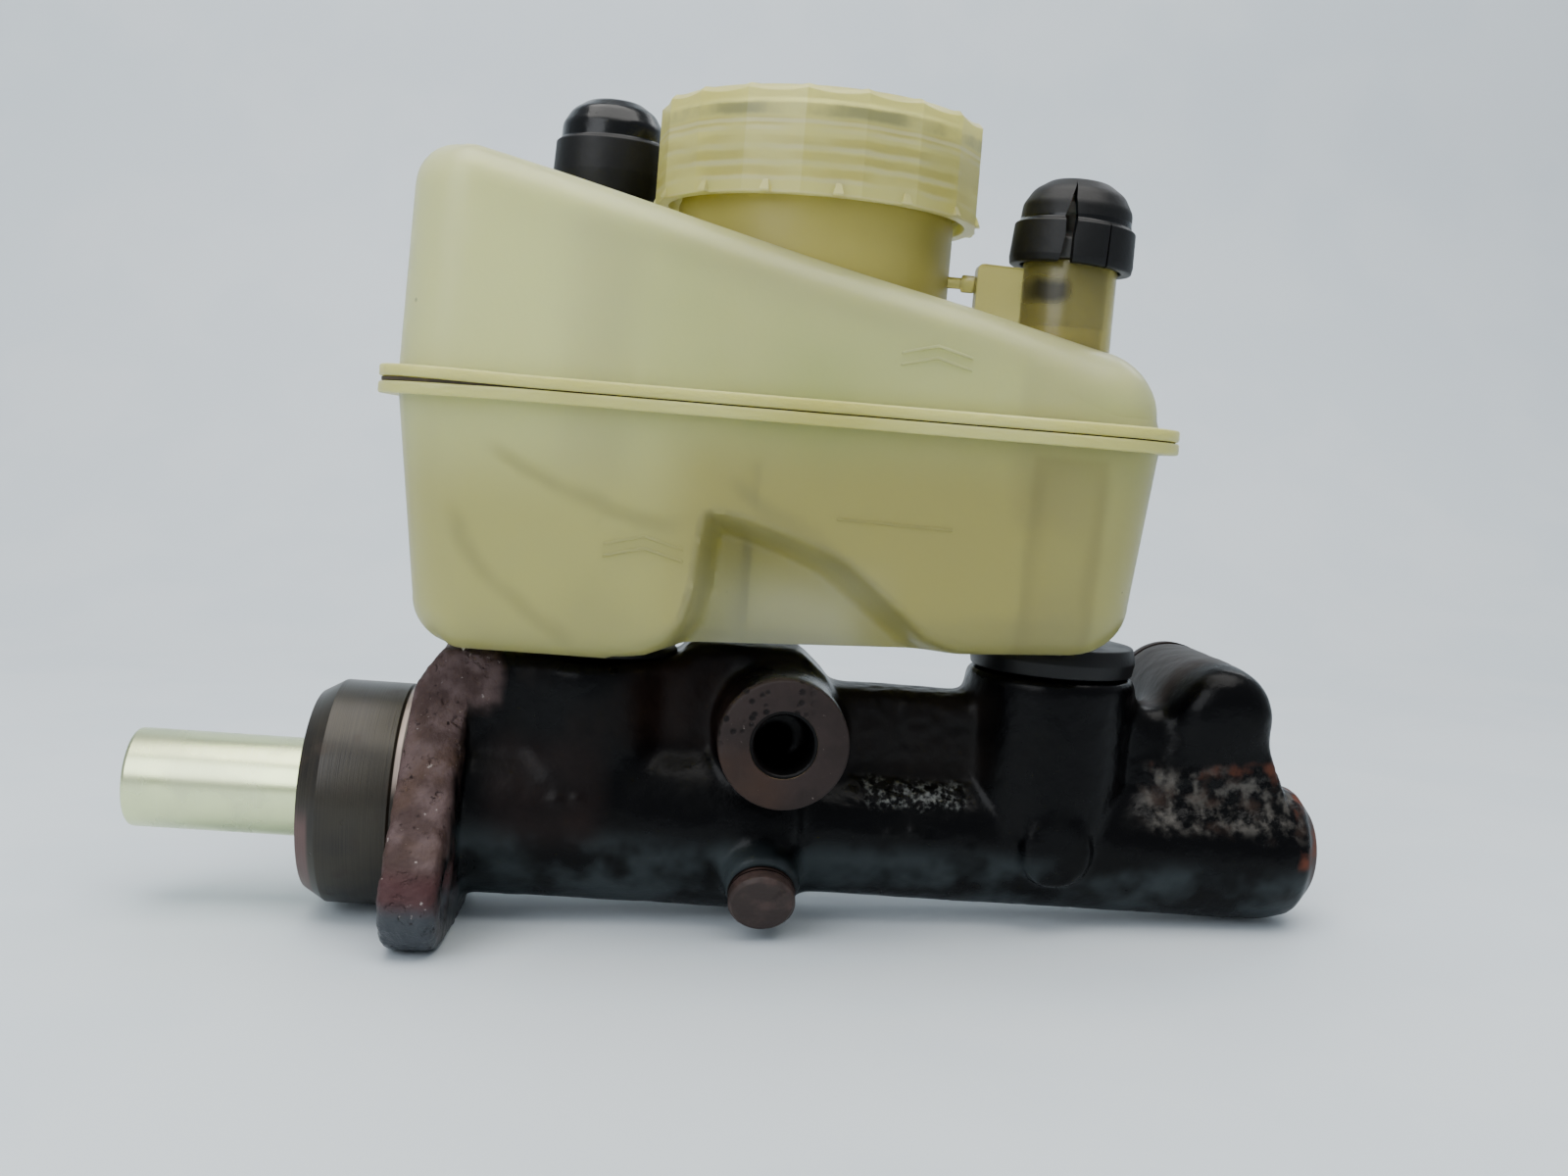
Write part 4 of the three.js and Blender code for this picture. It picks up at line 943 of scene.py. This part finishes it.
def bore_mouth():
    """Circlip with its two eyes, stop washer, guide ring and the two cups on the rod."""
    rear, front = CIRCLIP_X[0] + 0.2, CIRCLIP_X[1] - 0.2
    gap = 0.34
    section = band(rear, front, 13.6, CIRCLIP_GROOVE_R - 0.3)
    clip = lathe(section, fillet=0.25, arc=(-math.pi / 2 + gap, 1.5 * math.pi - gap))
    eyes = []
    for side in (-1, 1):
        angle = -math.pi / 2 + side * (gap + 0.06)
        eyes.append(lathe(
            band(rear, front, 0.8, 1.9), at=(0, 14.2 * math.cos(angle), 14.2 * math.sin(angle)),
            segments=24, fillet=0.2,
        ))
    fixed(mesh_object("retaining_clip", merged(clip, *eyes), SPRING), "circlip")
    turned_part("stop_washer", "rod_stop_washer", STEEL, band(-15.4, -14.2, 10.1, 15.2))
    turned_part("guide_ring", "rod_guide", GUIDE, [
        (-9.6, 9.76), (-9.6, 15.3, 0.5), (-8.2, 15.3, 0.2), (-8, 14.9, 0.2), (-6.4, 14.9, 0.2),
        (-6.2, 15.3, 0.2), (-4.8, 15.3, 0.5), (-4.8, 9.76),
    ])
    cup("vacuum_cup", "rod_vacuum_cup", 9.8, 15.2, -14, -9.8)
    cup("pressure_cup", "rod_pressure_cup", 9.8, 15.2, -4.6, 0.7)


def turned_part(node, name, material, profile, axis="x", at=(0, 0, 0), fillet=0.2):
    return fixed(mesh_object(name, lathe(profile, axis, at, 72, fillet), material), node)


def cup(node, name, inner, outer, back, front):
    """A rubber lip seal, flaring from its back to its two lips."""
    length, middle = front - back, (inner + outer) / 2
    half = (outer - inner) / 2
    return turned_part(node, name, RUBBER, [
        (back, inner + 0.05), (back, outer - 0.3), (back + length * 0.3, outer - 0.35),
        (front, outer, 0.15), (front, outer - half * 0.28, 0.15),
        (back + length * 0.45, middle + half * 0.25), (back + length * 0.45, middle - half * 0.25),
        (front, inner + half * 0.28, 0.15), (front, inner, 0.15),
    ])


def pistons():
    turned_part("primary_piston", "primary_piston_body", GOLD, [
        (-34, 0), (-31.7, 4.2, 0.5), (-34.5, 6, 0.5), (ROD_END + 0.4, 6, 0.2), (ROD_END, 6.5, 0.2),
        (ROD_END, ROD_R, 0.9), (3, ROD_R, 0.2), (3, 11.8, 0.4), (9, 11.8, 0.4), (9, 8.5, 0.4),
        (25, 8.5, 0.4), (25, 11.8, 0.4), (29.6, 11.8, 0.4), (29.6, 6.5, 0.2), (36.3, 6.5, 0.3),
        (36.3, 2.3, 0.1), (26, 2.3, 0.1), (25, 0),
    ])
    turned_part("primary_cup_washer", "primary_washer", STEEL, band(29.8, 30.5, 6.7, 11.4))
    cup("primary_cup", "primary_lip_seal", 6.6, 11.75, 30.7, 36.1)
    turned_part("primary_spring_seat", "primary_seat", STEEL, band(36.6, 37.8, 2.4, 7.2))
    turned_part("captive_screw", "limit_screw", STEEL, [
        (26, 0), (26, 2), (56, 2), (56, 3.8, 0.4), (59, 3.8, 0.5), (59, 1.6, 0.2), (57.4, 1.4, 0.2),
        (57.2, 0),
    ])
    turned_part("stop_sleeve", "limit_sleeve", STEEL, [
        (54.6, 2.4), (54.6, 5, 0.6), (70.9, 5, 0.4), (70.9, 7.1, 0.3), (72.3, 7.1), (72.3, 4.2),
        (55.8, 4.2, 0.3), (55.8, 2.4),
    ])
    turned_part("secondary_piston", "secondary_piston_body", GOLD, [
        (79, 0), (79, 4.6, 0.3), (72.9, 4.6, 0.2), (72.6, 5, 0.2), (72.6, 9.42, 0.6), (77, 9.42),
        (77, 6.2), (83.7, 6.2), (83.7, 8.4), (84.5, 8.4), (84.5, 6.2), (91, 6.2), (91, 9.42),
        (95, 9.42, 0.4), (95, 6.5, 0.6), (117, 6.5, 0.6), (117, 9.42, 0.4), (121.4, 9.42),
        (121.4, 5.2), (128.2, 5.2, 0.4), (128.2, 0),
    ])
    cup("separating_cup_rear", "separating_seal_rear", 6.3, 9.38, 83.4, 77.3)
    cup("separating_cup_front", "separating_seal_front", 6.3, 9.38, 84.8, 90.7)
    turned_part("secondary_cup_washer", "secondary_washer", STEEL, band(121.6, 122.3, 5.4, 9.1))
    cup("secondary_cup", "secondary_lip_seal", 5.3, 9.38, 122.5, 128)
    turned_part("secondary_spring_seat", "secondary_seat", STEEL, band(128.5, 129.6, 3, 8.6))


def spring(node, name, start, end, radius, wire, turns, inset=0):
    """A compression spring, coiled round the bore axis."""
    first, last = start + wire, end - wire - inset
    section = wire_section(wire)
    shape = helix("x", (0, 0, 0), radius, first, last, turns, section, flat_ends=-0.8)
    thing = fixed(mesh_object(name, shape, SPRING, 60), node)
    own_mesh(thing)


# ---- reservoir ----------------------------------------------------------------------------------


def tank_outline(rear, front, half, radius=PLAN_R, spacing=1.8):
    """Points round a plan rectangle with rounded corners, each as (x, y, outward x, outward y)."""
    corners = [
        (front - radius, half - radius, 0), (rear + radius, half - radius, 1),
        (rear + radius, -half + radius, 2), (front - radius, -half + radius, 3),
    ]
    out = []
    for i, (cx, cy, quarter) in enumerate(corners):
        steps = 9
        for k in range(steps + 1):
            angle = (quarter + k / steps) * math.pi / 2
            c, s = math.cos(angle), math.sin(angle)
            out.append((cx + radius * c, cy + radius * s, c, s))
        nx, ny, _ = corners[(i + 1) % 4]
        angle = (quarter + 1) * math.pi / 2
        start = Vector(out[-1][:2])
        end = Vector((nx + radius * math.cos(angle), ny + radius * math.sin(angle)))
        count = round((TANK_FRONT - TANK_REAR if i % 2 == 0 else 2 * TANK_HALF) / spacing)
        for k in range(1, count):
            spot = start.lerp(end, k / count)
            out.append((spot.x, spot.y, math.cos(angle), math.sin(angle)))
    return np.array(out)


def depth_in(polygon, x, z):
    """How far inside a polygon each point lies, negative outside it."""
    best = np.full(len(x), 1e9)
    inside = np.zeros(len(x), bool)
    for (ax, az), (bx, bz) in zip(polygon, polygon[1:] + polygon[:1]):
        length = (bx - ax) ** 2 + (bz - az) ** 2
        t = np.clip(((x - ax) * (bx - ax) + (z - az) * (bz - az)) / length, 0, 1)
        best = np.minimum(best, np.hypot(x - ax - t * (bx - ax), z - az - t * (bz - az)))
        if az != bz:
            crosses = (az > z) != (bz > z)
            inside ^= crosses & (x < (bx - ax) * (z - az) / (bz - az) + ax)
    return np.where(inside, best, -best)


def floor_height(x):
    """Height of the tank's underside, with its corners eased."""
    at, height = zip(*FLOOR)
    return sum(np.interp(x + shift, at, height) for shift in (-4, -2, 0, 2, 4)) / 5


def with_pockets(points):
    """Presses the two clearance pockets into the sides of the lower half."""
    x, y, z = points.T
    for polygon, side in ((NEAR_POCKET, -1), (FAR_POCKET, 1)):
        press = smoothstep(-1.4, 2.8, depth_in(polygon, x, z))
        beyond = np.maximum(y * side - POCKET_Y, 0)
        y = np.where(y * side > POCKET_Y, side * (POCKET_Y + beyond * (1 - press)), y)
    return np.stack([x, y, z], 1)


def lower_half():
    """The open-topped lower shell, from the seam down round the floor's edge."""
    levels = [(k / 38, 0) for k in range(39)] + [(1, k / 12 * math.pi / 2) for k in range(1, 13)]
    shells = []
    for u, roll in levels:
        rear, front, half = TANK_REAR + 4.6 * u, TANK_FRONT - 2.8 * u, TANK_HALF - 1.4 * u
        x, y, nx, ny = tank_outline(rear, front, half, spacing=1.3).T
        radius = 6 + 3.5 * smoothstep(64, 104, x)
        radius = np.maximum(radius, 9 * smoothstep(12, 4, x))
        px = x - nx * radius * (1 - math.cos(roll))
        py = y - ny * radius * (1 - math.cos(roll))
        top = SEAM_Z - 0.1
        pz = top + (floor_height(px) + radius - top) * u - radius * math.sin(roll)
        shells.append(with_pockets(np.stack([px, py, pz], 1)))
    edge = shells[-1]
    for share in (0.8, 0.6, 0.4, 0.2, 0):
        shells.append(np.stack([edge[:, 0], edge[:, 1] * share, floor_height(edge[:, 0])], 1))
    tank = mesh_object("tank_lower", loft(shells), TANK, 60)
    bm = bmesh.new()
    bm.from_mesh(tank.data)
    bmesh.ops.remove_doubles(bm, verts=bm.verts, dist=0.02 * MM)
    bmesh.ops.recalc_face_normals(bm, faces=bm.faces)
    bm.to_mesh(tank.data)
    bm.free()
    thicken(tank)
    holes = [rod(4.6, 20, 47, "z", (x, 0, 0), 40) for x in INLETS]
    cut(tank, *holes)
    nipples = []
    for x in INLETS:
        boss = float(floor_height(x)) - 0.5
        nipples.append(lathe([
            (26, 4.6, 0.4), (26, 7, 0.8), (28.4, 7.1, 0.3), (28.6, 6.7, 0.2),
            (boss, 6.7, 0.3), (boss + 1, 5.7, 0.5), (boss + 9, 5.7, 0.4), (boss + 9, 4.6),
        ], "z", (x, 0, 0), 48, 0.2))
    plate = prism([
        (-15.5, 39), (15.5, 39), (15.5, 62), (30.5, 66), (30.5, 72), (-30.5, 72), (-30.5, 66),
        (-15.5, 62),
    ], "x", 61, 62.6, 0.3, 0.8)
    fixed(mesh_object("tank_nipples", merged(*nipples), TANK))
    fixed(mesh_object("tank_partition", plate, TANK))
    return fixed(tank, "reservoir_lower")


def thicken(thing):
    """Gives an open skin its wall, inwards, with clean shading."""
    wall = thing.modifiers.new("wall", "SOLIDIFY")
    wall.thickness = WALL * MM
    wall.offset = -1
    wall.use_even_offset = False
    even = thing.modifiers.new("even", "WEIGHTED_NORMAL")
    even.keep_sharp = True
    return baked(thing)


def upper_half():
    """The open-bottomed upper shell with its sloping deck."""
    levels = [(k / 12, 0) for k in range(13)] + [(1, k / 9 * math.pi / 2) for k in range(1, 10)]
    shells = []
    for u, roll in levels:
        lean = u * 0.9
        plan = tank_outline(TANK_REAR + lean, TANK_FRONT - lean, TANK_HALF - lean)
        x, y, nx, ny = plan.T
        radius = 6.8 + 5 * smoothstep(96, 128, x) + 3 * smoothstep(8, 0, x)
        radius = np.minimum(radius, deck(x) - SEAM_Z - 3.5)
        px = x - nx * radius * (1 - math.cos(roll))
        py = y - ny * radius * (1 - math.cos(roll))
        bottom = SEAM_Z + 0.1
        pz = bottom + (deck(x) - radius - bottom) * u + radius * math.sin(roll)
        pz += DECK_SLOPE * (x - px) + crown(px) * u
        shells.append(np.stack([px, py, pz], 1))
    tank = mesh_object("tank_upper", loft(shells, cap_last=True), TANK, 60)
    thicken(tank)
    holes = [rod(NECK_BORE_R, 84, 140, "z", (NECK_X, 0, 0), 96)]
    for x, y, top, _ in TOWERS.values():
        holes.append(rod(TOWER_BORE_R, 84, top + 1, "z", (x, y, 0), 48))
    cut(tank, *holes)
    return fixed(tank, "reservoir_upper")


def on_deck(shape, low):
    """Lets the foot of a turned piece follow the deck's slope, just inside its skin."""
    verts = [(x, y, deck(x) - WALL * 0.8 if z < low else z) for x, y, z in shape[0]]
    return verts, shape[1]


def two_starts(radius, first, section):
    """A two-start thread round the neck's axis, with the lead that the cap climbs in a turn."""
    return [
        helix(
            "z", (NECK_X, 0, 0), radius, start, start + 1.25 * THREAD_LEAD, 1.25, section,
            taper=0.03, steps_per_turn=96,
        )
        for start in (first, first + THREAD_LEAD / 2)
    ]


def neck():
    tube = lathe([
        (90, NECK_BORE_R), (90, NECK_R + 0.5), (119.6, NECK_R + 0.5, 0.6), (121, NECK_R, 0.4),
        (NECK_TOP, NECK_R, 0.5), (NECK_TOP, NECK_BORE_R, 0.5),
    ], "z", (NECK_X, 0, 0), 144, 0.3)
    threads = two_starts(NECK_R - 0.1, 122.6, [(0, -0.9), (1.25, -0.35), (1.25, 0.35), (0, 0.9)])
    fixed(mesh_object("filler_neck", merged(on_deck(tube, 100), *threads), NECK))


def towers():
    for end, (x, y, top, _) in TOWERS.items():
        tube = lathe([
            (88, TOWER_BORE_R), (88, TOWER_R), (top, TOWER_R, 0.5), (top, TOWER_BORE_R, 0.3),
        ], "z", (x, y, 0), 72, 0.2)
        shapes = [on_deck(tube, 95)]
        if end == "front":
            shapes.append(prism([
                (101, deck(101) - 1.6), (112, deck(112) - 1.6), (112, top - 1.6),
                (101, top - 1.2, 1.2),
            ], "y", y - 1.7, y + 1.7, 0.15, 0.4))
            shapes.append(lathe([
                (NECK_X + 25.8, 0), (NECK_X + 25.8, 1.1), (99.5, 1.1), (99.5, 1.7, 0.3),
                (102, 1.7, 0.3), (102, 0),
            ], "x", (0, y * 0.5, top - 4.4), 24, 0.2))
        fixed(mesh_object(f"{end}_tower", merged(*shapes), TOWER))


def rim_ring(name, section, material, place):
    """A closed ring round the rim. place turns a corner of its section, at an X and Y of the
    rim, into how far out it reaches and how high it lies."""
    plan = tank_outline(TANK_REAR, TANK_FRONT, TANK_HALF, spacing=3)
    rings = []
    for corner in section:
        ring = []
        for x, y, nx, ny in plan:
            reach, height = place(corner, x, y)
            ring.append((x + nx * reach, y + ny * reach, height))
        rings.append(ring)
    fixed(mesh_object(name, loft(rings, looped=True), material, 50))


def lip(name, low, high, opens):
    """One of the two welded rims, a little uneven and lifted where the weld has cracked."""

    def place(corner, x, y):
        out, height = corner
        wobble = noise.noise(Vector((x * 0.09, y * 0.09, low))) * 0.22
        spread = opens * float(smoothstep(24, -6, x)) * 0.32
        return out + (wobble if out > 0 else 0), height + (spread if out > 0.5 else 0)

    corners = [(-WALL, low), (LIP_OUT, low), (LIP_OUT, high), (-WALL, high)]
    rim_ring(name, rounded(corners, True, 0.45, 3), LIP, place)


def seam():
    """The two rims, and between them a dark strip of painted shade in the weld's gap."""
    lip("tank_lip_lower", SEAM_Z - 0.1 - LIP_THICK, SEAM_Z - 0.12, -1)
    lip("tank_lip_upper", SEAM_Z + 0.12, SEAM_Z + 0.1 + LIP_THICK, 1)

    def place(corner, x, y):
        open_end = float(smoothstep(30, 0, x))
        ragged = 0.3 * noise.noise(Vector((x, y, 0)) * 0.15)
        reach = LIP_OUT - 0.75 + ragged + 0.35 * open_end
        return reach * corner[0], SEAM_Z + corner[1] * (0.13 + 0.16 * open_end)

    rim_ring("tank_seam", [(0.3, -1), (1, -1), (1, 1), (0.3, 1)], SEAM_SHADE, place)


def level_marks():
    """Plain moulded level marks on the near wall: two double chevrons and a line, no lettering."""
    marks = []
    for x, z, size in ((42.5, 56.6, 0.95), (92, 94.4, 0.85)):
        half, rise, stroke = 7.5 * size, 1.9 * size, 0.5
        wall = -TANK_HALF + (0.75 if z < SEAM_Z else 0.35)
        for drop in (0, 2.1):
            outline = [
                (x - half, z - drop - rise), (x, z - drop), (x + half, z - drop - rise),
                (x + half, z - drop - rise + stroke), (x, z - drop + stroke * 1.2),
                (x - half, z - drop - rise + stroke),
            ]
            marks.append(prism(outline, "y", wall - 0.05, wall + 0.6, 0.1))
    wall = -TANK_HALF + 0.6
    line = [(76.5, 62.4), (97.5, 62), (97.5, 62.5), (76.5, 62.9)]
    marks.append(prism(line, "y", wall - 0.05, wall + 0.6, 0.1))
    fixed(mesh_object("level_marks", merged(*marks), TANK))


def faceted(shape):
    """Turns the outside of a round cap into flats, with a wavy top edge."""
    step = 2 * math.pi / CAP_FLATS
    verts = []
    for x, y, z in shape[0]:
        radius, angle = math.hypot(x - NECK_X, y), math.atan2(y, x - NECK_X)
        if radius > CAP_BORE_R + 0.4:
            off = (angle % step) - step / 2
            radius *= math.cos(step / 2) / math.cos(off)
            if z > CAP_TOP - 3:
                z -= 0.55 * (1 - (2 * off / step) ** 2)
        verts.append((NECK_X + radius * math.cos(angle), radius * math.sin(angle), z))
    return verts, shape[1]


def cap_piece():
    """Eighteen-sided screw cap with a thread inside, small gussets at its rim and a rolled top."""
    shell = lathe([
        (CAP_BOTTOM, CAP_BORE_R, 0.3), (CAP_BOTTOM, CAP_R, 0.25), (CAP_TOP - 0.9, CAP_R - 0.1, 0.4),
        (CAP_TOP, CAP_R - 1, 0.4), (CAP_TOP, CAP_R - 2.4, 0.4), (CAP_TOP - 0.7, CAP_R - 3.1, 0.4),
        (CAP_TOP - 0.7, 9, 0.4), (CAP_TOP - 0.4, 8.2, 0.4), (CAP_TOP - 0.4, 0.001),
        (CAP_TOP - 2.2, 0.001), (CAP_TOP - 2.2, CAP_BORE_R - 1, 0.6),
        (CAP_TOP - 3.2, CAP_BORE_R, 0.4),
    ], "z", (NECK_X, 0, 0), CAP_FLATS * 8, 0.2, steps=6)
    shapes = [faceted(shell)]
    for k in range(CAP_NIBS):
        angle = 2 * math.pi * (k + 0.35) / CAP_NIBS
        nib = prism([
            (CAP_R - 1.6, -1.3), (CAP_R + 0.7, -1), (CAP_R + 0.7, 1), (CAP_R - 1.6, 1.3),
        ], "z", CAP_BOTTOM + 0.1, CAP_BOTTOM + 2.3, 0.3)
        tapered = []
        for x, y, z in nib[0]:
            up = z - CAP_BOTTOM
            tapered.append((x - 0.4 * up, y * (1 - 0.25 * up), z))
        where = Matrix.Translation((NECK_X, 0, 0)) @ Matrix.Rotation(angle, 4, "Z")
        shapes.append(moved((tapered, nib[1]), where))
    shapes += two_starts(CAP_BORE_R + 0.3, 122.2, [(0, 0.8), (-1.2, 0.4), (-1.2, -0.4), (0, -0.8)])
    fixed(mesh_object("screw_cap", merged(*shapes), CAP, 14), "cap")
    ring = band(CAP_TOP - 3.8, CAP_TOP - 2.4, 19, 27.6, 0.4)
    turned_part("cap_seal", "cap_gasket", RUBBER, ring, "z", (NECK_X, 0, 0))


def grommets():
    for node, name, x, collar in (
        ("rear_grommet", "rear_bush", INLETS[0], 16.2),
        ("front_grommet", "front_bush", INLETS[1], 16.7),
    ):
        bottom = span(node)[0].z
        top = float(floor_height(x)) - 0.15
        boss = 31.8 if node == "rear_grommet" else 34.2
        turned_part(node, name, RUBBER, [
            (bottom, 7.2, 0.4), (bottom, 9.2, 0.6), (boss - 4, 9.7, 0.3), (boss + 0.2, 9.7, 0.2),
            (boss + 0.2, collar - 0.5, 0.4), ((boss + top) / 2, collar, 0.8),
            (top, collar - 0.7, 0.5), (top, 7.2, 0.4),
        ], "z", (x, 0, 0))


# ---- level contacts ------------------------------------------------------------------------------


def boot(end):
    x, y, top, _ = TOWERS[end]
    foot = {"rear": -4.6, "front": -0.9}[end]
    shape = lathe([
        (foot, 9.5, 0.3), (foot, 11.5, 0.4), (0.5, 11.7, 0.4), (6.7, 11.4, 0.5), (7.4, 10.5, 0.5),
        (10.4, 10.3, 3), (13.3, 8.6, 4), (15.3, 5.6, 4), (16, 2, 3), (16, 0.001),
        (14.3, 0.001), (14.1, 3.6, 2), (12.4, 7, 3), (10, 8.8, 2), (6.6, 9.3, 0.5), (4.8, 9.9, 0.3),
    ], "z", (0, 0, 0), 96, 0.3, steps=5)
    thing = mesh_object(f"{end}_cover", shape, BOOT, 50)
    if end == "front":
        tear = prism([
            (-4.9, -3), (-2.2, -3), (-2.5, 4), (-2.1, 7.6), (-2.6, 11), (-2.3, 14.6), (-3.3, 11.4),
            (-4.3, 7.6), (-4.1, 4),
        ], "y", -14, -2, 0.02)
        slit = prism([(4.0, -3), (4.35, -3), (4.3, 6.6), (4.1, 7.4)], "y", -14, -4, 0.02)
        cut(thing, tear, slit)
        sharpened(thing, 50)
    lean = {"rear": 0.0, "front": math.radians(2.5)}[end]
    spot = Matrix.Translation(Vector((x, y, top)) * MM) @ Matrix.Rotation(lean, 4, "Y")
    thing.data.transform(spot)
    fixed(thing, f"{end}_boot")
    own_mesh(thing)


def level_contact(end):
    """Insert, blades, test plunger, cage and float of one level contact."""
    x, y, top, cage = TOWERS[end]
    insert = mesh_object(f"{end}_insert", lathe([
        (-12, 0), (-12, 7.35, 0.4), (0.2, 7.35, 0.1), (0.2, 8.9, 0.3), (4, 8.9, 0.6),
        (5.4, 7.3, 0.4), (5.4, 0),
    ], "z", (x, y, top), 72, 0.2), INSERT)
    tools = [rod(1.9, -13, 8, "z", (x, y, top), 24)]
    for side in (-1, 1):
        middle = x + side * 4.6
        low, high = (middle - 0.7, y - 2.6), (middle + 0.7, y + 2.6)
        tools.append(slab("z", low, high, top - 4, top + 8, bevel=0.01))
    cut(insert, *tools)
    fixed(sharpened(insert), f"{end}_contact_insert")
    for side, letter in ((-1, "a"), (1, "b")):
        middle = x + side * 4.6
        blade = mesh_object(f"{end}_blade_{letter}", prism([
            (y - 2.3, top - 3.7), (y + 2.3, top - 3.7), (y + 2.3, top + 7.6), (y + 1.3, top + 8.6),
            (y - 1.3, top + 8.6), (y - 2.3, top + 7.6),
        ], "x", middle - 0.4, middle + 0.4, 0.12, 0.2), BRASS)
        cut(blade, rod(0.8, middle - 2, middle + 2, "x", (0, y, top + 6), 20))
        fixed(blade, f"{end}_terminal_{letter}")
    turned_part(f"{end}_test_plunger", f"{end}_plunger", GUIDE, [
        (-14, 0), (-14, 1.6, 0.4), (9.4, 1.6, 0.3), (9.4, 3, 0.3), (11.4, 3.2, 0.5),
        (12.8, 2.4, 0.6), (13.4, 0.4, 0.3), (13.4, 0),
    ], "z", (x, y, top))
    bottom = -12 - cage
    tube = mesh_object(f"{end}_cage", lathe([
        (bottom, 2.4, 0.3), (bottom, 6.8, 0.6), (-12.2, 6.8, 0.3), (-12.2, 5.8, 0.2),
        (bottom + 1.2, 5.8, 0.3), (bottom + 1.2, 2.4, 0.3),
    ], "z", (x, y, top), 60, 0.2), CAGE)
    window = top + bottom + 6
    cut(tube, slab("z", (x - 9, y - 1.5), (x + 9, y + 1.5), window, window + 20, bevel=0.01))
    fixed(sharpened(tube), f"{end}_float_cage")
    low = bottom + 1.4
    turned_part(f"{end}_float", f"{end}_level_float", FLOAT, [
        (low, 0), (low, 5.2, 0.8), (low + 5.4, 5.2, 0.3), (low + 5.7, 4.9, 0.2),
        (low + 6.3, 4.9, 0.2), (low + 6.6, 5.2, 0.3), (low + 12, 5.2, 0.9), (low + 12, 2.2, 0.2),
        (low + 14, 2.2, 0.5), (low + 14, 0),
    ], "z", (x, y, top))


# ---- making it all ------------------------------------------------------------------------

cast_body()
spigot()
outlet("rear_outlet", REAR_PORT, 0.2)
outlet("front_outlet", FRONT_PORT, 0.2)
stop_screw()
bore_mouth()
pistons()
spring("primary_spring", "primary_coil", 38, 70.6, 6.2, 0.8, 6)
spring(
    "secondary_spring", "secondary_coil",
    129.8, 173.6, 7.2, 1.1, 6.5, 0.7,
)
lower_half()
upper_half()
seam()
level_marks()
neck()
towers()
cap_piece()
grommets()
for which in TOWERS:
    boot(which)
    level_contact(which)


# ---- floor, light and camera --------------------------------------------------------------

CAMERA_AT = (48.36, -313.28, 73.91)
CAMERA_YAW = -0.0702
CAMERA_PITCH = 0.0863  # downwards
CAMERA_ROLL = 0.0809
CAMERA_LENS = 36.1  # on a 36 mm wide sensor


def studio_camera():
    forward = Vector((
        -math.sin(CAMERA_YAW) * math.cos(CAMERA_PITCH),
        math.cos(CAMERA_YAW) * math.cos(CAMERA_PITCH),
        -math.sin(CAMERA_PITCH),
    ))
    level = Vector((math.cos(CAMERA_YAW), math.sin(CAMERA_YAW), 0))
    upright = level.cross(forward)
    right = math.cos(CAMERA_ROLL) * level + math.sin(CAMERA_ROLL) * upright
    up = -math.sin(CAMERA_ROLL) * level + math.cos(CAMERA_ROLL) * upright
    data = bpy.data.cameras.new("studio_camera")
    data.sensor_width = 36
    data.lens = CAMERA_LENS
    data.clip_start = 0.01
    data.clip_end = 20
    camera = bpy.data.objects.new("studio_camera", data)
    axes = Matrix((right, up, -forward)).transposed().to_4x4()
    camera.matrix_world = Matrix.Translation(Vector(CAMERA_AT) * MM) @ axes
    bpy.context.scene.collection.objects.link(camera)
    bpy.context.scene.camera = camera
    return right, up


def studio_floor_piece():
    """A floor under the near ear and the closed end, swept up behind into a backdrop."""
    ear_bottom = -EAR[1] - EAR[2] - 0.15
    front_bottom = -BARREL_R[1] - 0.15
    tilt = (front_bottom - ear_bottom) / 170
    back, rise, reach = 620, 900, 1500
    profile = [(-900, 0), (back - 300, 0)]
    for k in range(1, 13):
        angle = k / 12 * math.pi / 2
        profile.append((back - 300 + 300 * math.sin(angle), 300 - 300 * math.cos(angle)))
    profile.append((back, rise))
    verts, faces = [], []
    for y, z in profile:
        for x in (-reach, reach):
            verts.append((x + 60, y, ear_bottom + tilt * (x + 60 - 5) + z))
    for k in range(len(profile) - 1):
        faces.append((2 * k, 2 * k + 1, 2 * k + 3, 2 * k + 2))
    floor = mesh_object("floor", (verts, faces), studio_floor(), 180)


def area_light(name, at, aim, size, power, tint=(1, 1, 1)):
    data = bpy.data.lights.new(name, "AREA")
    data.shape = "RECTANGLE"
    data.size, data.size_y = size
    data.energy = power
    data.color = tint
    lamp = bpy.data.objects.new(name, data)
    lamp.location = at
    lamp.rotation_euler = (Vector(aim) - Vector(at)).to_track_quat("-Z", "Y").to_euler()
    bpy.context.scene.collection.objects.link(lamp)


def studio_light():
    world = bpy.data.worlds.new("studio")
    world.use_nodes = True
    backdrop = world.node_tree.nodes["Background"]
    backdrop.inputs["Color"].default_value = (0.78, 0.84, 0.92, 1)
    backdrop.inputs["Strength"].default_value = 0.55
    bpy.context.scene.world = world
    aim = (0.065, 0, 0.05)
    area_light("overhead", (0.02, -0.12, 0.85), aim, (1.1, 0.8), 13, (1, 0.98, 0.95))
    area_light("window", (-0.55, -0.75, 0.55), aim, (0.7, 0.7), 6.5, (0.93, 0.96, 1))
    area_light("back", (0.35, 0.75, 0.55), aim, (0.9, 0.5), 6.5, (0.97, 0.98, 1))


studio_camera()
studio_floor_piece()
studio_light()
